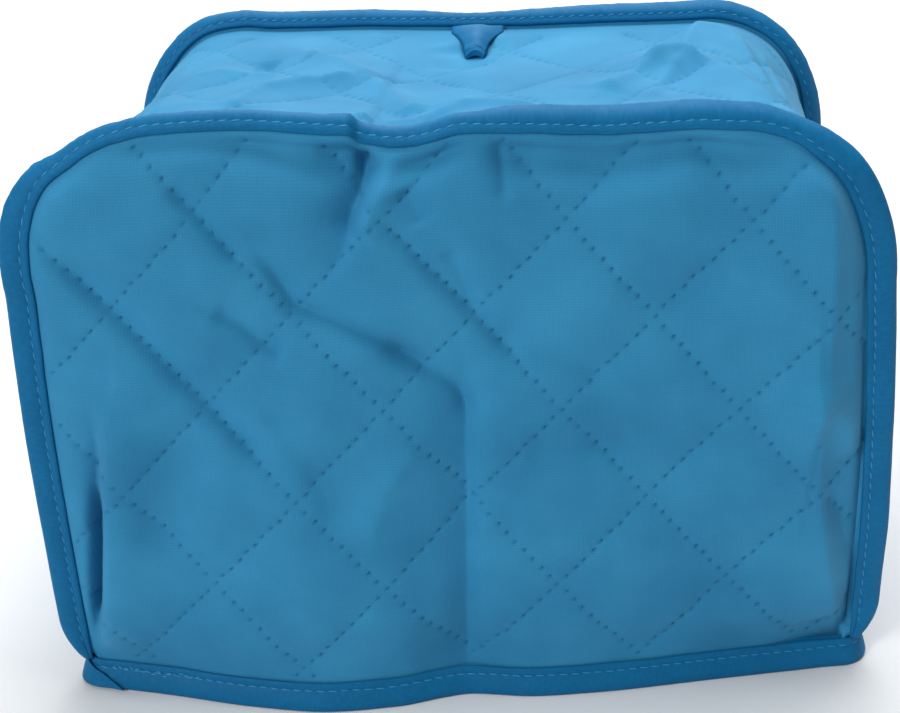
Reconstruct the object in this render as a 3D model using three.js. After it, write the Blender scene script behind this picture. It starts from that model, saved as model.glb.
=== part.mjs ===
// A quilted cloth cover for a two-slice toaster, standing empty on its hem.
// A front panel, a back panel and one long gusset are joined by two bound seams
// that stand out as flanges. A third binding runs round the open hem, and a
// folded tape loop is caught in the middle of the back seam.
// Millimetres, X to the right, Y to the back, Z up, origin on the floor.
import * as THREE from 'three';

// Driving dimensions
const DEPTH = 169.4; // front face of the front seam to back face of the back seam
const ARCH = { halfHem: 134, halfSpring: 131, spring: 147, cornerReach: 41, top: 196 };
const BINDING_WIDTH = 9.5; // folded tape, from its fold over the edge to its inner fold
const TAPE = 1.0; // one leg of the folded tape
const PRESSED = 1.0; // quilted cloth where the binding nips it
const CLOTH = 1.8; // quilted cloth between the seams
const GAP = 0.3; // between neighbouring pieces
const QUILT = { halfWide: 28.6, halfHigh: 31.6, relief: 1.1, softness: 0.7, level: 0.35 };
const QUILT_GRID = { steps: 3, spread: 16, rows: 20, below: 5 }; // columns and rows on the diamonds

// What the driving dimensions give across a bound seam, from its outer face inwards
const PANEL_FACE = TAPE + GAP;
const PANEL_BACK = PANEL_FACE + PRESSED;
const GUSSET_FACE = PANEL_BACK + GAP;
const GUSSET_BACK = GUSSET_FACE + PRESSED;
const LEG_FACE = GUSSET_BACK + GAP;
const SEAM_STACK = LEG_FACE + TAPE;
const EDGE_ROOM = TAPE + 0.5; // from the binding's fold down to the cloth's cut edge
const BEND_ROOM = CLOTH + 0.5; // from the seam line in to where a panel is clear of the gusset's bend
const HEM_STACK = 2 * TAPE + 2 * GAP + PRESSED;
const HEM_CORNER = 6;
const HEM_LEAD = 3; // straight run of the hem before each corner starts
const HEM_REACH = 121.5; // outermost of the panels' columns at the hem
const CLOTH_FOOT = 1.5; // cut edge of the cloth above the floor, inside the hem binding
const HEM_CLEAR = BINDING_WIDTH + 0.5; // where the cloth is free of the hem binding
const SEAM_FOOT = HEM_CLEAR + 1.5; // lower ends of the two bound seams
const BINDING_TRIM = 1.2; // the tape is cut this much shorter than the seam at each foot
const FOOT_WIDTH = 3.5; // a seam's width where it is tucked down at the hem
const FULL_WIDTH_AT = 31; // height at which the seam has its whole width

// How the empty cover stands: sheared a little to the right at the back and to
// the left at the top, in millimetres for each millimetre
const SKEW = { back: 0.0874, up: -0.0385, level: 124 };

// The seams' own wander from the plain arch. along is measured on the seam from
// the middle of the top, to the right; rise is outwards, lean tips the flange
// towards the middle of the cover in degrees, and back moves it that way.
const FRONT_WANDER = [
  { along: -300, rise: 0.0, lean: 0, back: 0 },
  { along: -160, rise: 0.0, lean: 0, back: 0 },
  { along: -95, rise: -1.0, lean: 12, back: 0 },
  { along: -70, rise: -1.2, lean: 16, back: 0.5 },
  { along: -29, rise: -0.8, lean: 16, back: 1 },
  { along: -22, rise: -3.0, lean: 14, back: 2.5 },
  { along: -15, rise: -4.4, lean: 12, back: 3 },
  { along: -7, rise: -3.0, lean: 10, back: 2 },
  { along: 8, rise: 0.0, lean: 8, back: 0.5 },
  { along: 22, rise: 1.5, lean: 6, back: 0 },
  { along: 70, rise: 1.5, lean: 6, back: 0 },
  { along: 105, rise: 0.0, lean: 3, back: 0 },
  { along: 200, rise: 0.6, lean: 0, back: 0 },
  { along: 250, rise: 1.0, lean: 0, back: 1.5 },
  { along: 300, rise: -1.0, lean: 0, back: 4.5 },
];
const BACK_WANDER = [
  { along: -300, rise: 0.0, lean: 0, back: 0 },
  { along: -90, rise: -0.4, lean: 0, back: 0 },
  { along: -60, rise: -0.8, lean: 0, back: 0 },
  { along: -20, rise: -2.4, lean: 0, back: 0.5 },
  { along: 0, rise: -3.6, lean: 0, back: 1 },
  { along: 22, rise: -2.0, lean: 0, back: 0.5 },
  { along: 80, rise: 0.0, lean: 0, back: 0 },
  { along: 300, rise: 0.0, lean: 0, back: 0 },
];

// How far the hem stands out from the plane of its seam, along the floor
const FRONT_HEM = [
  { x: -137, out: 0.0 },
  { x: -117, out: 3.3 },
  { x: -102, out: 6.6 },
  { x: -73, out: 13.6 },
  { x: -48, out: 17.0 },
  { x: -24, out: 14.4 },
  { x: -11, out: 10.4 },
  { x: 0, out: 8.2 },
  { x: 22, out: 10.2 },
  { x: 45, out: 8.5 },
  { x: 80, out: 3.2 },
  { x: 109, out: -1.2 },
  { x: 137, out: -4.6 },
];
const BACK_HEM = [
  { x: -137, out: 0.0 },
  { x: -100, out: 5.0 },
  { x: -50, out: 10.5 },
  { x: -12, out: 9.0 },
  { x: 0, out: 7.0 },
  { x: 14, out: 9.5 },
  { x: 60, out: 12.0 },
  { x: 105, out: 5.0 },
  { x: 137, out: 0.0 },
];

// Creases of the panels, each along a line from one end to the other. A
// positive lift stands out of the cover and a negative one is a trough.
const FRONT_CREASES = [
  { x1: -122, z1: 100, x2: -128, z2: 16, lift: -5.5, reach: 4.5 }, // trough inside the left seam
  { x1: -114, z1: 104, x2: -121, z2: 20, lift: 3.0, reach: 8 }, // the fold standing beside it
  { x1: 118, z1: 178, x2: 118, z2: 78, lift: 2.6, reach: 7 }, // right-hand fold
  { x1: 118, z1: 78, x2: 129, z2: 20, lift: 2.6, reach: 7 },
  { x1: 3.6, z1: 120, x2: -1.2, z2: 2, lift: -3.0, reach: 5 }, // packing crease down the middle
  { x1: -29, z1: 192, x2: -30, z2: 164, lift: -3.4, reach: 6 }, // wedge under the kinked top
  { x1: -58, z1: 161, x2: -49, z2: 144, lift: -2.0, reach: 6 },
  { x1: -49, z1: 144, x2: 0, z2: 115, lift: -3.2, reach: 7 }, // long slanting fold
  { x1: -75, z1: 143, x2: -52, z2: 127, lift: -1.8, reach: 6 },
  { x1: -80, z1: 188, x2: -28, z2: 183, lift: -2.2, reach: 7 },
  { x1: 20, z1: 188, x2: 112, z2: 187, lift: -2.6, reach: 6 }, // hollow under the right-hand top
];
const BACK_CREASES = [
  { x1: 2, z1: 180, x2: 1, z2: 3, lift: -2.4, reach: 6 },
  { x1: -88, z1: 170, x2: -30, z2: 120, lift: -2.0, reach: 8 },
  { x1: 40, z1: 176, x2: 84, z2: 128, lift: -2.2, reach: 8 },
  { x1: 112, z1: 150, x2: 118, z2: 30, lift: 2.2, reach: 8 },
  { x1: -114, z1: 120, x2: -120, z2: 26, lift: 2.0, reach: 8 },
  { x1: -60, z1: 84, x2: -20, z2: 44, lift: 1.6, reach: 9 },
];

// Ridges and hollows of the gusset: along as above, y from the front seam
const GUSSET_CREASES = [
  { u1: -52, y1: 140, u2: -16, y2: 55, lift: 4.0, reach: 9 },
  { u1: -78, y1: 48, u2: -36, y2: 98, lift: 3.6, reach: 9 },
  { u1: -100, y1: 95, u2: -70, y2: 112, lift: 4.0, reach: 11 },
  { u1: -112, y1: 40, u2: -92, y2: 62, lift: 4.0, reach: 12 },
  { u1: 74, y1: 112, u2: 90, y2: 104, lift: 6.0, reach: 12 },
  { u1: 90, y1: 104, u2: 122, y2: 40, lift: 6.0, reach: 12 },
  { u1: 36, y1: 56, u2: 74, y2: 112, lift: 3.4, reach: 9 },
  { u1: 80, y1: 116, u2: 106, y2: 160, lift: 5.0, reach: 12 },
  { u1: -190, y1: 40, u2: -250, y2: 110, lift: 3.0, reach: 14 },
  { u1: 180, y1: 50, u2: 240, y2: 120, lift: 3.0, reach: 14 },
  { u1: -175, y1: 130, u2: -215, y2: 96, lift: -2.6, reach: 12 },
  { u1: 170, y1: 128, u2: 210, y2: 84, lift: -2.6, reach: 12 },
];
const GUSSET = { topSag: 6.5, sidePull: 3.0, settle: 10 };

// The two panels and the seams that bound them. facing is the way into the cover.
const FRONT = {
  seamAt: 0,
  facing: 1,
  wander: FRONT_WANDER,
  hem: FRONT_HEM,
  creases: FRONT_CREASES,
  belly: 4.5,
  quiltAt: { x: 4.2, z: 76.9, leanX: 0.045, leanZ: -0.025 },
};
const BACK = {
  seamAt: DEPTH,
  facing: -1,
  wander: BACK_WANDER,
  hem: BACK_HEM,
  creases: BACK_CREASES,
  belly: 5.0,
  quiltAt: { x: -9.0, z: 70.0, leanX: 0.02, leanZ: 0.0 },
};
const GUSSET_QUILT_AT = { along: QUILT.halfWide / 2, y: 140 };

// The loop's middle line, from its upper root in the back seam out to its tip and
// back underneath; y is from the seam's inner face, z from the seam line
const LOOP_PATH = [
  { y: 0.3, z: 8.0, width: 23 },
  { y: 5, z: 10.0, width: 21 },
  { y: 11, z: 11.0, width: 17 },
  { y: 17, z: 10.3, width: 11.5 },
  { y: 20.6, z: 8.4, width: 8 },
  { y: 21.8, z: 6.0, width: 7 },
  { y: 20.2, z: 3.8, width: 8 },
  { y: 16, z: 3.0, width: 11 },
  { y: 10, z: 2.6, width: 16 },
  { y: 5, z: 2.6, width: 19 },
  { y: 0.3, z: 2.9, width: 22 },
];
const LOOP = { across: 4, crown: 1.2, atX: -0.5 };

const COLOURS = { cloth: 0x2b82bd, binding: 0x1f8cc8 };

/** A value between two others. */
const mix = THREE.MathUtils.lerp;

/** 0 below low, 1 above high, and a smooth step between them. */
const smooth = THREE.MathUtils.smoothstep;

/** Reads one column of a table, straight between its rows. */
function lookUp(rows, key, column, at) {
  const next = rows.findIndex((row) => row[key] >= at);
  if (next === 0) return rows[0][column];
  if (next < 0) return rows[rows.length - 1][column];
  const [a, b] = [rows[next - 1], rows[next]];
  return mix(a[column], b[column], (at - a[key]) / (b[key] - a[key]));
}

/** Height of the quilted pillows: 0 along the dotted lines, 1 in a diamond's middle. */
function pillow(across, up) {
  const a = (across / QUILT.halfWide + up / QUILT.halfHigh) / 2;
  const b = (across / QUILT.halfWide - up / QUILT.halfHigh) / 2;
  return Math.pow(Math.abs(Math.sin(Math.PI * a) * Math.sin(Math.PI * b)), QUILT.softness);
}

/** Distance from (x, y) to the straight line between two points. */
function distanceToLine(x, y, x1, y1, x2, y2) {
  const [dx, dy] = [x2 - x1, y2 - y1];
  const along = THREE.MathUtils.clamp(((x - x1) * dx + (y - y1) * dy) / (dx * dx + dy * dy), 0, 1);
  return Math.hypot(x - x1 - along * dx, y - y1 - along * dy);
}

/** A soft ridge or trough at a distance from its line. */
const crease = (lift, reach, distance) => lift * Math.exp(-((distance / reach) ** 2));

/** Half of the plain arch of the seam, from the middle of the top down to the floor. */
function traceHalfArch() {
  const { halfHem, halfSpring, spring, cornerReach, top } = ARCH;
  const [cornerSteps, sideSteps] = [48, 60];
  const points = [new THREE.Vector2(0, top)];
  for (let i = 0; i <= cornerSteps; i += 1) {
    const angle = (Math.PI / 2) * (1 - i / cornerSteps);
    const x = halfSpring - cornerReach + cornerReach * Math.cos(angle);
    points.push(new THREE.Vector2(x, spring + (top - spring) * Math.sin(angle)));
  }
  for (let i = 1; i <= sideSteps; i += 1) {
    const z = spring * (1 - i / sideSteps);
    points.push(new THREE.Vector2(halfHem - (halfHem - halfSpring) * (z / spring) ** 3, z));
  }
  const lengths = [0];
  for (let i = 1; i < points.length; i += 1) {
    lengths.push(lengths[i - 1] + points[i].distanceTo(points[i - 1]));
  }
  return { points, lengths };
}
const HALF_ARCH = traceHalfArch();

/** The plain arch at a length along it: its place and its outward normal. */
function archAt(along) {
  const { points, lengths } = HALF_ARCH;
  const side = along < 0 ? -1 : 1;
  let next = lengths.findIndex((length) => length >= Math.abs(along));
  if (next < 1) next = next < 0 ? lengths.length - 1 : 1;
  const [a, b] = [points[next - 1], points[next]];
  const part = (Math.abs(along) - lengths[next - 1]) / (lengths[next] - lengths[next - 1]);
  const run = new THREE.Vector2().subVectors(b, a).normalize();
  return {
    x: side * mix(a.x, b.x, part),
    z: mix(a.y, b.y, part),
    nx: -side * run.y,
    nz: run.x,
  };
}

/** Length along the arch, from the middle of the top, at which it is down to height z. */
function alongAtHeight(z) {
  const { points, lengths } = HALF_ARCH;
  const next = points.findIndex((point) => point.y <= z && point.x > ARCH.halfSpring - 0.01);
  const [a, b] = [points[next - 1], points[next]];
  return mix(lengths[next - 1], lengths[next], (a.y - z) / (a.y - b.y));
}

/** How far inside the plain arch a point of a panel lies, below 0 outside it. */
function insideArch(x, z) {
  const { points } = HALF_ARCH;
  let nearest = Infinity;
  for (let i = 1; i < points.length; i += 1) {
    const [a, b] = [points[i - 1], points[i]];
    nearest = Math.min(nearest, distanceToLine(Math.abs(x), z, a.x, a.y, b.x, b.y));
  }
  const { halfSpring, spring, cornerReach, top } = ARCH;
  const overCorner = Math.max(0, Math.abs(x) - halfSpring + cornerReach) / cornerReach;
  const overSpring = Math.max(0, z - spring) / (top - spring);
  const outside = overSpring > 0 ? Math.hypot(overCorner, overSpring) > 1 : Math.abs(x) > ARCH.halfHem;
  return outside ? -nearest : nearest;
}

/** Lengths along the arch at which every seam piece has a section. */
function seamStations() {
  const step = QUILT.halfWide / 2;
  const end = alongAtHeight(SEAM_FOOT);
  const fine = (at) => (Math.abs(at) > 80 && Math.abs(at) < 165) || (at > -32 && at < 30);
  const stations = [-end];
  for (let half = Math.ceil((-2 * end) / step); half < (2 * end) / step; half += 1) {
    const at = (half * step) / 2;
    const onStep = half % 2 === 0;
    if ((onStep || fine(at)) && end - Math.abs(at) > step / 4) stations.push(at);
  }
  stations.push(end);
  return stations;
}
const STATIONS = seamStations();

/** The frame of a bound seam at a length along it. */
function seamFrame(panel, along) {
  const arch = archAt(along);
  const rise = lookUp(panel.wander, 'along', 'rise', along);
  const lean = THREE.MathUtils.degToRad(lookUp(panel.wander, 'along', 'lean', along));
  const back = lookUp(panel.wander, 'along', 'back', along);
  const full = smooth(arch.z, SEAM_FOOT - 4, FULL_WIDTH_AT);
  return {
    x: arch.x + arch.nx * rise,
    z: arch.z + (Math.abs(arch.nz) > 0.3 ? arch.nz * rise : 0),
    y: panel.seamAt + panel.facing * back,
    nx: arch.nx,
    nz: arch.nz,
    lean,
    width: mix(FOOT_WIDTH, BINDING_WIDTH, full),
    facing: panel.facing,
  };
}

/** A point of a bound seam: out from the seam line, and through its layers. */
function onSeam(frame, out, through) {
  const across = out * Math.cos(frame.lean) - through * Math.sin(frame.lean);
  const inward = out * Math.sin(frame.lean) + through * Math.cos(frame.lean);
  return new THREE.Vector3(
    frame.x + frame.nx * across,
    frame.y + frame.facing * inward,
    frame.z + frame.nz * across,
  );
}

/** How far a panel's face stands out from the plane of its seam. */
function panelOut(panel, x, z) {
  const inside = insideArch(x, z);
  const hem = lookUp(panel.hem, 'x', 'out', x);
  if (z <= HEM_CLEAR) return hem;
  const fade = Math.pow(THREE.MathUtils.clamp((ARCH.top - z) / (ARCH.top - HEM_CLEAR), 0, 1), 1.2);
  const free = smooth(z, HEM_CLEAR, HEM_CLEAR + 24) * (1 - Math.exp(-inside / 8));
  let out = hem * fade + panel.belly * free;
  const settled = smooth(inside, 1, 6) * smooth(z, HEM_CLEAR - 6, HEM_CLEAR + 14);
  for (const { x1, z1, x2, z2, lift, reach } of panel.creases) {
    out += settled * crease(lift, reach, distanceToLine(x, z, x1, z1, x2, z2));
  }
  const up = z - panel.quiltAt.z - panel.quiltAt.leanZ * (x - panel.quiltAt.x);
  const across = x - panel.quiltAt.x - panel.quiltAt.leanX * (z - panel.quiltAt.z);
  return out + settled * QUILT.relief * (pillow(across, up) - QUILT.level);
}

/** Rise of the gusset off the straight run from seam to seam. */
function gussetOut(along, y) {
  const run = THREE.MathUtils.clamp((y - SEAM_STACK) / (DEPTH - 2 * SEAM_STACK), 0, 1);
  const [low, high] = [GUSSET.settle - 4, GUSSET.settle + 8];
  const free = smooth(y, low, high) * smooth(DEPTH - y, low, high);
  const onTop = 1 - smooth(Math.abs(along), 75, 130);
  const onSide = smooth(Math.abs(along), 130, 200);
  const lowDown = smooth(alongAtHeight(SEAM_FOOT) - Math.abs(along), 0, 40);
  let out = -(GUSSET.topSag * onTop + GUSSET.sidePull * onSide * lowDown) * Math.sin(Math.PI * run);
  for (const { u1, y1, u2, y2, lift, reach } of GUSSET_CREASES) {
    out += free * crease(lift, reach, distanceToLine(along, y, u1, y1, u2, y2));
  }
  const puff = pillow(along - GUSSET_QUILT_AT.along, y - GUSSET_QUILT_AT.y) - QUILT.level;
  return out + free * Math.min(1, lowDown + 0.2) * QUILT.relief * puff;
}

/** Whole cover sheared to the way it stands. */
function stand(point) {
  const lean = SKEW.back * point.y + SKEW.up * (point.z - SKEW.level);
  return new THREE.Vector3(point.x + lean, point.y, point.z);
}

/** A closed solid from one triangulated sheet given twice, as its outer and its inner face. */
function sheetSolid(name, outer, inner, triangles, colour) {
  const count = outer.length;
  const faces = [];
  const edges = new Map();
  for (const [a, b, c] of triangles) {
    faces.push([a, b, c], [count + c, count + b, count + a]);
    for (const [p, q] of [[a, b], [b, c], [c, a]]) {
      const twin = `${q} ${p}`;
      if (edges.has(twin)) edges.delete(twin);
      else edges.set(`${p} ${q}`, [p, q]);
    }
  }
  for (const [p, q] of edges.values()) {
    faces.push([q, p, count + p], [q, count + p, count + q]);
  }
  const points = [...outer, ...inner].map(stand);
  const volume = faces.reduce((sum, [a, b, c]) => {
    const cross = new THREE.Vector3().crossVectors(points[b], points[c]);
    return sum + points[a].dot(cross);
  }, 0);
  const index = faces.flatMap(([a, b, c]) => (volume < 0 ? [a, c, b] : [a, b, c]));
  const geometry = new THREE.BufferGeometry().setFromPoints(points);
  geometry.setIndex(index);
  geometry.computeVertexNormals();
  const material = new THREE.MeshStandardMaterial({ color: colour, roughness: 0.85, metalness: 0 });
  const mesh = new THREE.Mesh(geometry, material);
  mesh.name = name;
  return mesh;
}

/** Triangles of a grid of points, each square split along the line the surface follows best. */
function gridTriangles(rows, columns, closed, height = () => 0) {
  const triangles = [];
  const at = (row, column) => (row % rows) * columns + column;
  for (let row = 0; row < (closed ? rows : rows - 1); row += 1) {
    for (let column = 0; column < columns - 1; column += 1) {
      const [a, b] = [at(row, column), at(row, column + 1)];
      const [c, d] = [at(row + 1, column), at(row + 1, column + 1)];
      const middle = height(row + 0.5, column + 0.5);
      const rising = (height(row, column) + height(row + 1, column + 1)) / 2;
      const falling = (height(row, column + 1) + height(row + 1, column)) / 2;
      if (Math.abs(middle - rising) <= Math.abs(middle - falling)) {
        triangles.push([a, b, d], [a, d, c]);
      } else {
        triangles.push([a, b, c], [b, d, c]);
      }
    }
  }
  return triangles;
}

/** The folded tape over one bound seam, its two ends tucked down to the hem. */
function makeSeamBinding(name, panel) {
  const outer = [];
  const inner = [];
  const end = STATIONS[STATIONS.length - 1] - BINDING_TRIM;
  const legEnd = 1.0; // the leg over the gusset stops this far short of the seam line
  for (const station of STATIONS) {
    const frame = seamFrame(panel, THREE.MathUtils.clamp(station, -end, end));
    const w = frame.width;
    const outerLine = [
      [legEnd, SEAM_STACK],
      [w - 1.1, SEAM_STACK],
      [w, SEAM_STACK - 1.3],
      [w, 1.3],
      [w - 1.1, 0],
      [0, 0],
    ];
    const innerLine = [
      [legEnd, SEAM_STACK - TAPE],
      [w - 1.3, SEAM_STACK - TAPE],
      [w - TAPE, SEAM_STACK - 1.5],
      [w - TAPE, 1.5],
      [w - 1.3, TAPE],
      [0, TAPE],
    ];
    outer.push(...outerLine.map(([out, through]) => onSeam(frame, out, through)));
    inner.push(...innerLine.map(([out, through]) => onSeam(frame, out, through)));
  }
  const columns = outer.length / STATIONS.length;
  const triangles = gridTriangles(STATIONS.length, columns, false);
  return sheetSolid(name, outer, inner, triangles, COLOURS.binding);
}

/** A panel's node at a grid place: its x and z, before it is given its folds. */
function quiltNode(panel, column, row) {
  const { x, z, leanX, leanZ } = panel.quiltAt;
  const across = (column * QUILT.halfWide) / QUILT_GRID.steps;
  if (row < 0) {
    const height = row === -2 ? CLOTH_FOOT : HEM_CLEAR;
    return new THREE.Vector2(x + across + leanX * (height - z), height);
  }
  const up = (row - QUILT_GRID.below) * (QUILT.halfHigh / QUILT_GRID.steps);
  return new THREE.Vector2(x + across + leanX * up, z + up + leanZ * across);
}

/** One quilted panel: a grid on the diamonds, a margin to the seam, and the seam allowance. */
function makePanel(name, panel) {
  const points = []; // x and z, with how the point is placed
  const add = (point) => points.push(point) - 1;
  const margin = 5.5; // ring of points inside the seam
  const keepInside = 9.5;
  const rings = { edge: [], seam: [], margin: [] };
  for (const along of STATIONS) {
    const frame = seamFrame(panel, along);
    rings.edge.push(add({ frame, out: frame.width - EDGE_ROOM }));
    rings.seam.push(add({ frame, out: 0 }));
    rings.margin.push(add({ x: frame.x - frame.nx * margin, z: frame.z - frame.nz * margin }));
  }
  const triangles = [];
  const strip = (from, to) => {
    for (let i = 0; i < from.length - 1; i += 1) {
      triangles.push([from[i], from[i + 1], to[i]], [from[i + 1], to[i + 1], to[i]]);
    }
  };
  strip(rings.edge, rings.seam);
  strip(rings.seam, rings.margin);

  const nodes = new Map();
  const node = (column, row) => {
    const key = `${column} ${row}`;
    if (!nodes.has(key)) {
      const place = quiltNode(panel, column, row);
      const ok = row < 0 ? Math.abs(place.x) < HEM_REACH : insideArch(place.x, place.y) > keepInside;
      nodes.set(key, ok ? add({ x: place.x, z: place.y }) : -1);
    }
    return nodes.get(key);
  };
  const edges = new Map();
  const bottom = [];
  for (let row = -2; row < QUILT_GRID.rows; row += 1) {
    for (let column = -QUILT_GRID.spread; column < QUILT_GRID.spread; column += 1) {
      const corners = [
        node(column, row),
        node(column + 1, row),
        node(column + 1, row + 1),
        node(column, row + 1),
      ];
      if (corners.some((corner) => corner < 0)) continue;
      const [a, b, c, d] = corners;
      const shape = corners.map((corner) => panelOut(panel, points[corner].x, points[corner].z));
      const middle = panelOut(panel, (points[a].x + points[c].x) / 2, (points[a].z + points[c].z) / 2);
      const rising = Math.abs(middle - (shape[0] + shape[2]) / 2);
      const falling = Math.abs(middle - (shape[1] + shape[3]) / 2);
      if (rising <= falling) triangles.push([a, c, b], [a, d, c]);
      else triangles.push([a, d, b], [b, d, c]);
      for (const [p, q] of [[a, b], [b, c], [c, d], [d, a]]) {
        if (edges.has(`${q} ${p}`)) edges.delete(`${q} ${p}`);
        else edges.set(`${p} ${q}`, [p, q]);
      }
      if (row === -2) bottom.push(a, b);
    }
  }
  const follow = new Map([...edges.values()]);
  const firstBottom = bottom[0];
  const stairs = [bottom[bottom.length - 1]];
  while (stairs[stairs.length - 1] !== firstBottom) stairs.push(follow.get(stairs[stairs.length - 1]));

  const hemEnd = ARCH.halfHem + 0.5 - HEM_CORNER - HEM_LEAD - 0.5;
  const corner = (side, z) => add({ x: side * hemEnd, z });
  const [left, right] = [-1, 1].map((side) => ({
    foot: corner(side, CLOTH_FOOT),
    clear: corner(side, HEM_CLEAR),
  }));
  const stairEnds = [stairs[stairs.length - 1], stairs[stairs.length - 2], stairs[1], stairs[0]];
  triangles.push([left.foot, left.clear, stairEnds[1]], [left.foot, stairEnds[1], stairEnds[0]]);
  triangles.push([stairEnds[3], stairEnds[2], right.clear], [stairEnds[3], right.clear, right.foot]);
  const contour = [
    left.clear,
    rings.seam[0],
    ...rings.margin,
    rings.seam[rings.seam.length - 1],
    right.clear,
    ...stairs.slice(1, -1),
  ];
  // Rows and columns are bowed by a hair here, so that no three points lie in line
  const hair = 0.001;
  const flat = contour.map((i) => {
    const { x, z } = points[i].frame ?? points[i];
    const [across, up] = [x / ARCH.halfHem, (2 * z) / ARCH.top - 1];
    return new THREE.Vector2(across * (1 - hair * up * up), up * (1 - hair * across * across));
  });
  for (const [i, j, k] of THREE.ShapeUtils.triangulateShape(flat, [])) {
    const first = new THREE.Vector2().subVectors(flat[j], flat[i]);
    const turn = first.cross(new THREE.Vector2().subVectors(flat[k], flat[i]));
    const [a, b, c] = [contour[i], contour[j], contour[k]];
    triangles.push(turn > 0 ? [a, c, b] : [a, b, c]);
  }

  const layer = (inner) => points.map((point) => {
    if (point.frame) {
      const out = inner && point.out === 0 ? -BEND_ROOM : point.out;
      return onSeam(point.frame, out, inner ? PANEL_BACK : PANEL_FACE);
    }
    const low = point.z <= HEM_CLEAR;
    const thick = inner ? (low ? PRESSED : CLOTH) : 0;
    const seamBack = low ? 0 : panelSeamBack(panel, point.x, point.z);
    const through = PANEL_FACE + seamBack - panelOut(panel, point.x, point.z) + thick;
    return new THREE.Vector3(point.x, panel.seamAt + panel.facing * through, point.z);
  });
  return sheetSolid(name, layer(false), layer(true), triangles, COLOURS.cloth);
}

/** How far the seam's own plane has moved into the cover beside a point of the panel. */
function panelSeamBack(panel, x, z) {
  const inside = insideArch(x, z);
  const nearSide = 1 - smooth(inside, 6, 30);
  if (nearSide <= 0) return 0;
  const along = z > ARCH.spring ? x : Math.sign(x) * alongAtHeight(Math.max(z, 1));
  return nearSide * lookUp(panel.wander, 'along', 'back', along);
}

/** Where the gusset's columns lie between the two seams. */
function gussetColumns() {
  const step = QUILT.halfHigh / 2;
  const first = SEAM_STACK + 2.1;
  const columns = [first];
  for (let k = Math.ceil((10 - GUSSET_QUILT_AT.y) / step); ; k += 1) {
    const y = GUSSET_QUILT_AT.y + k * step;
    if (y > DEPTH - 10) break;
    columns.push(y);
  }
  columns.push(DEPTH - first);
  return columns;
}

/** The hem's middle line on the floor, anticlockwise from the front left corner. */
function traceHem(frontColumns, backColumns, sideColumns) {
  const middle = HEM_STACK / 2;
  const side = ARCH.halfHem + 0.5;
  const straight = side - HEM_CORNER;
  const frontY = (x) => middle - lookUp(FRONT.hem, 'x', 'out', x);
  const backY = (x) => DEPTH - middle + lookUp(BACK.hem, 'x', 'out', x);
  const path = [];
  const turn = (cx, cy, from) => {
    for (const part of [1, 2, 3]) {
      const angle = from + (part * Math.PI) / 8;
      path.push(new THREE.Vector2(cx + HEM_CORNER * Math.cos(angle), cy + HEM_CORNER * Math.sin(angle)));
    }
  };
  const inRow = (columns) => {
    const free = columns.filter((x) => Math.abs(x) < HEM_REACH);
    return [-straight, -straight + HEM_LEAD, ...free, straight - HEM_LEAD, straight];
  };
  const alongSide = (x) => {
    const [start, finish] = [frontY(x) + HEM_CORNER, backY(x) - HEM_CORNER];
    const free = sideColumns.filter((y) => y > start + 2 * HEM_LEAD && y < finish - 2 * HEM_LEAD);
    return [start, start + HEM_LEAD, ...free, finish - HEM_LEAD, finish];
  };
  for (const x of inRow(frontColumns)) path.push(new THREE.Vector2(x, frontY(x)));
  turn(straight, frontY(straight) + HEM_CORNER, -Math.PI / 2);
  for (const y of alongSide(straight)) path.push(new THREE.Vector2(side, y));
  turn(straight, backY(straight) - HEM_CORNER, 0);
  for (const x of inRow(backColumns).reverse()) path.push(new THREE.Vector2(x, backY(x)));
  turn(-straight, backY(-straight) - HEM_CORNER, Math.PI / 2);
  for (const y of alongSide(-straight).reverse()) path.push(new THREE.Vector2(-side, y));
  turn(-straight, frontY(-straight) + HEM_CORNER, Math.PI);
  return path;
}

/** The folded tape round the open hem, flat where it stands on the floor. */
function makeHemBinding() {
  const columnsOf = (panel) => {
    const { spread } = QUILT_GRID;
    const list = [];
    for (let column = -spread; column <= spread; column += 1) list.push(quiltNode(panel, column, -1).x);
    return list;
  };
  const sideColumns = gussetColumns().slice(1, -1);
  const path = traceHem(columnsOf(FRONT), columnsOf(BACK), sideColumns);
  const half = HEM_STACK / 2;
  const outerLine = [
    [half, BINDING_WIDTH],
    [half, 1.2],
    [half - 0.9, 0],
    [-half + 0.9, 0],
    [-half, 1.2],
    [-half, BINDING_WIDTH],
  ];
  const innerLine = [
    [half - TAPE, BINDING_WIDTH],
    [half - TAPE, 1.3],
    [half - TAPE - 0.2, 1.0],
    [-half + TAPE + 0.2, 1.0],
    [-half + TAPE, 1.3],
    [-half + TAPE, BINDING_WIDTH],
  ];
  const outer = [];
  const inner = [];
  path.forEach((point, i) => {
    const before = path[(i + path.length - 1) % path.length];
    const after = path[(i + 1) % path.length];
    const run = new THREE.Vector2().subVectors(after, before).normalize();
    const place = ([out, z]) => new THREE.Vector3(point.x + run.y * out, point.y - run.x * out, z);
    outer.push(...outerLine.map(place));
    inner.push(...innerLine.map(place));
  });
  const triangles = gridTriangles(path.length, outerLine.length, true);
  return sheetSolid('hem_binding', outer, inner, triangles, COLOURS.binding);
}

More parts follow.
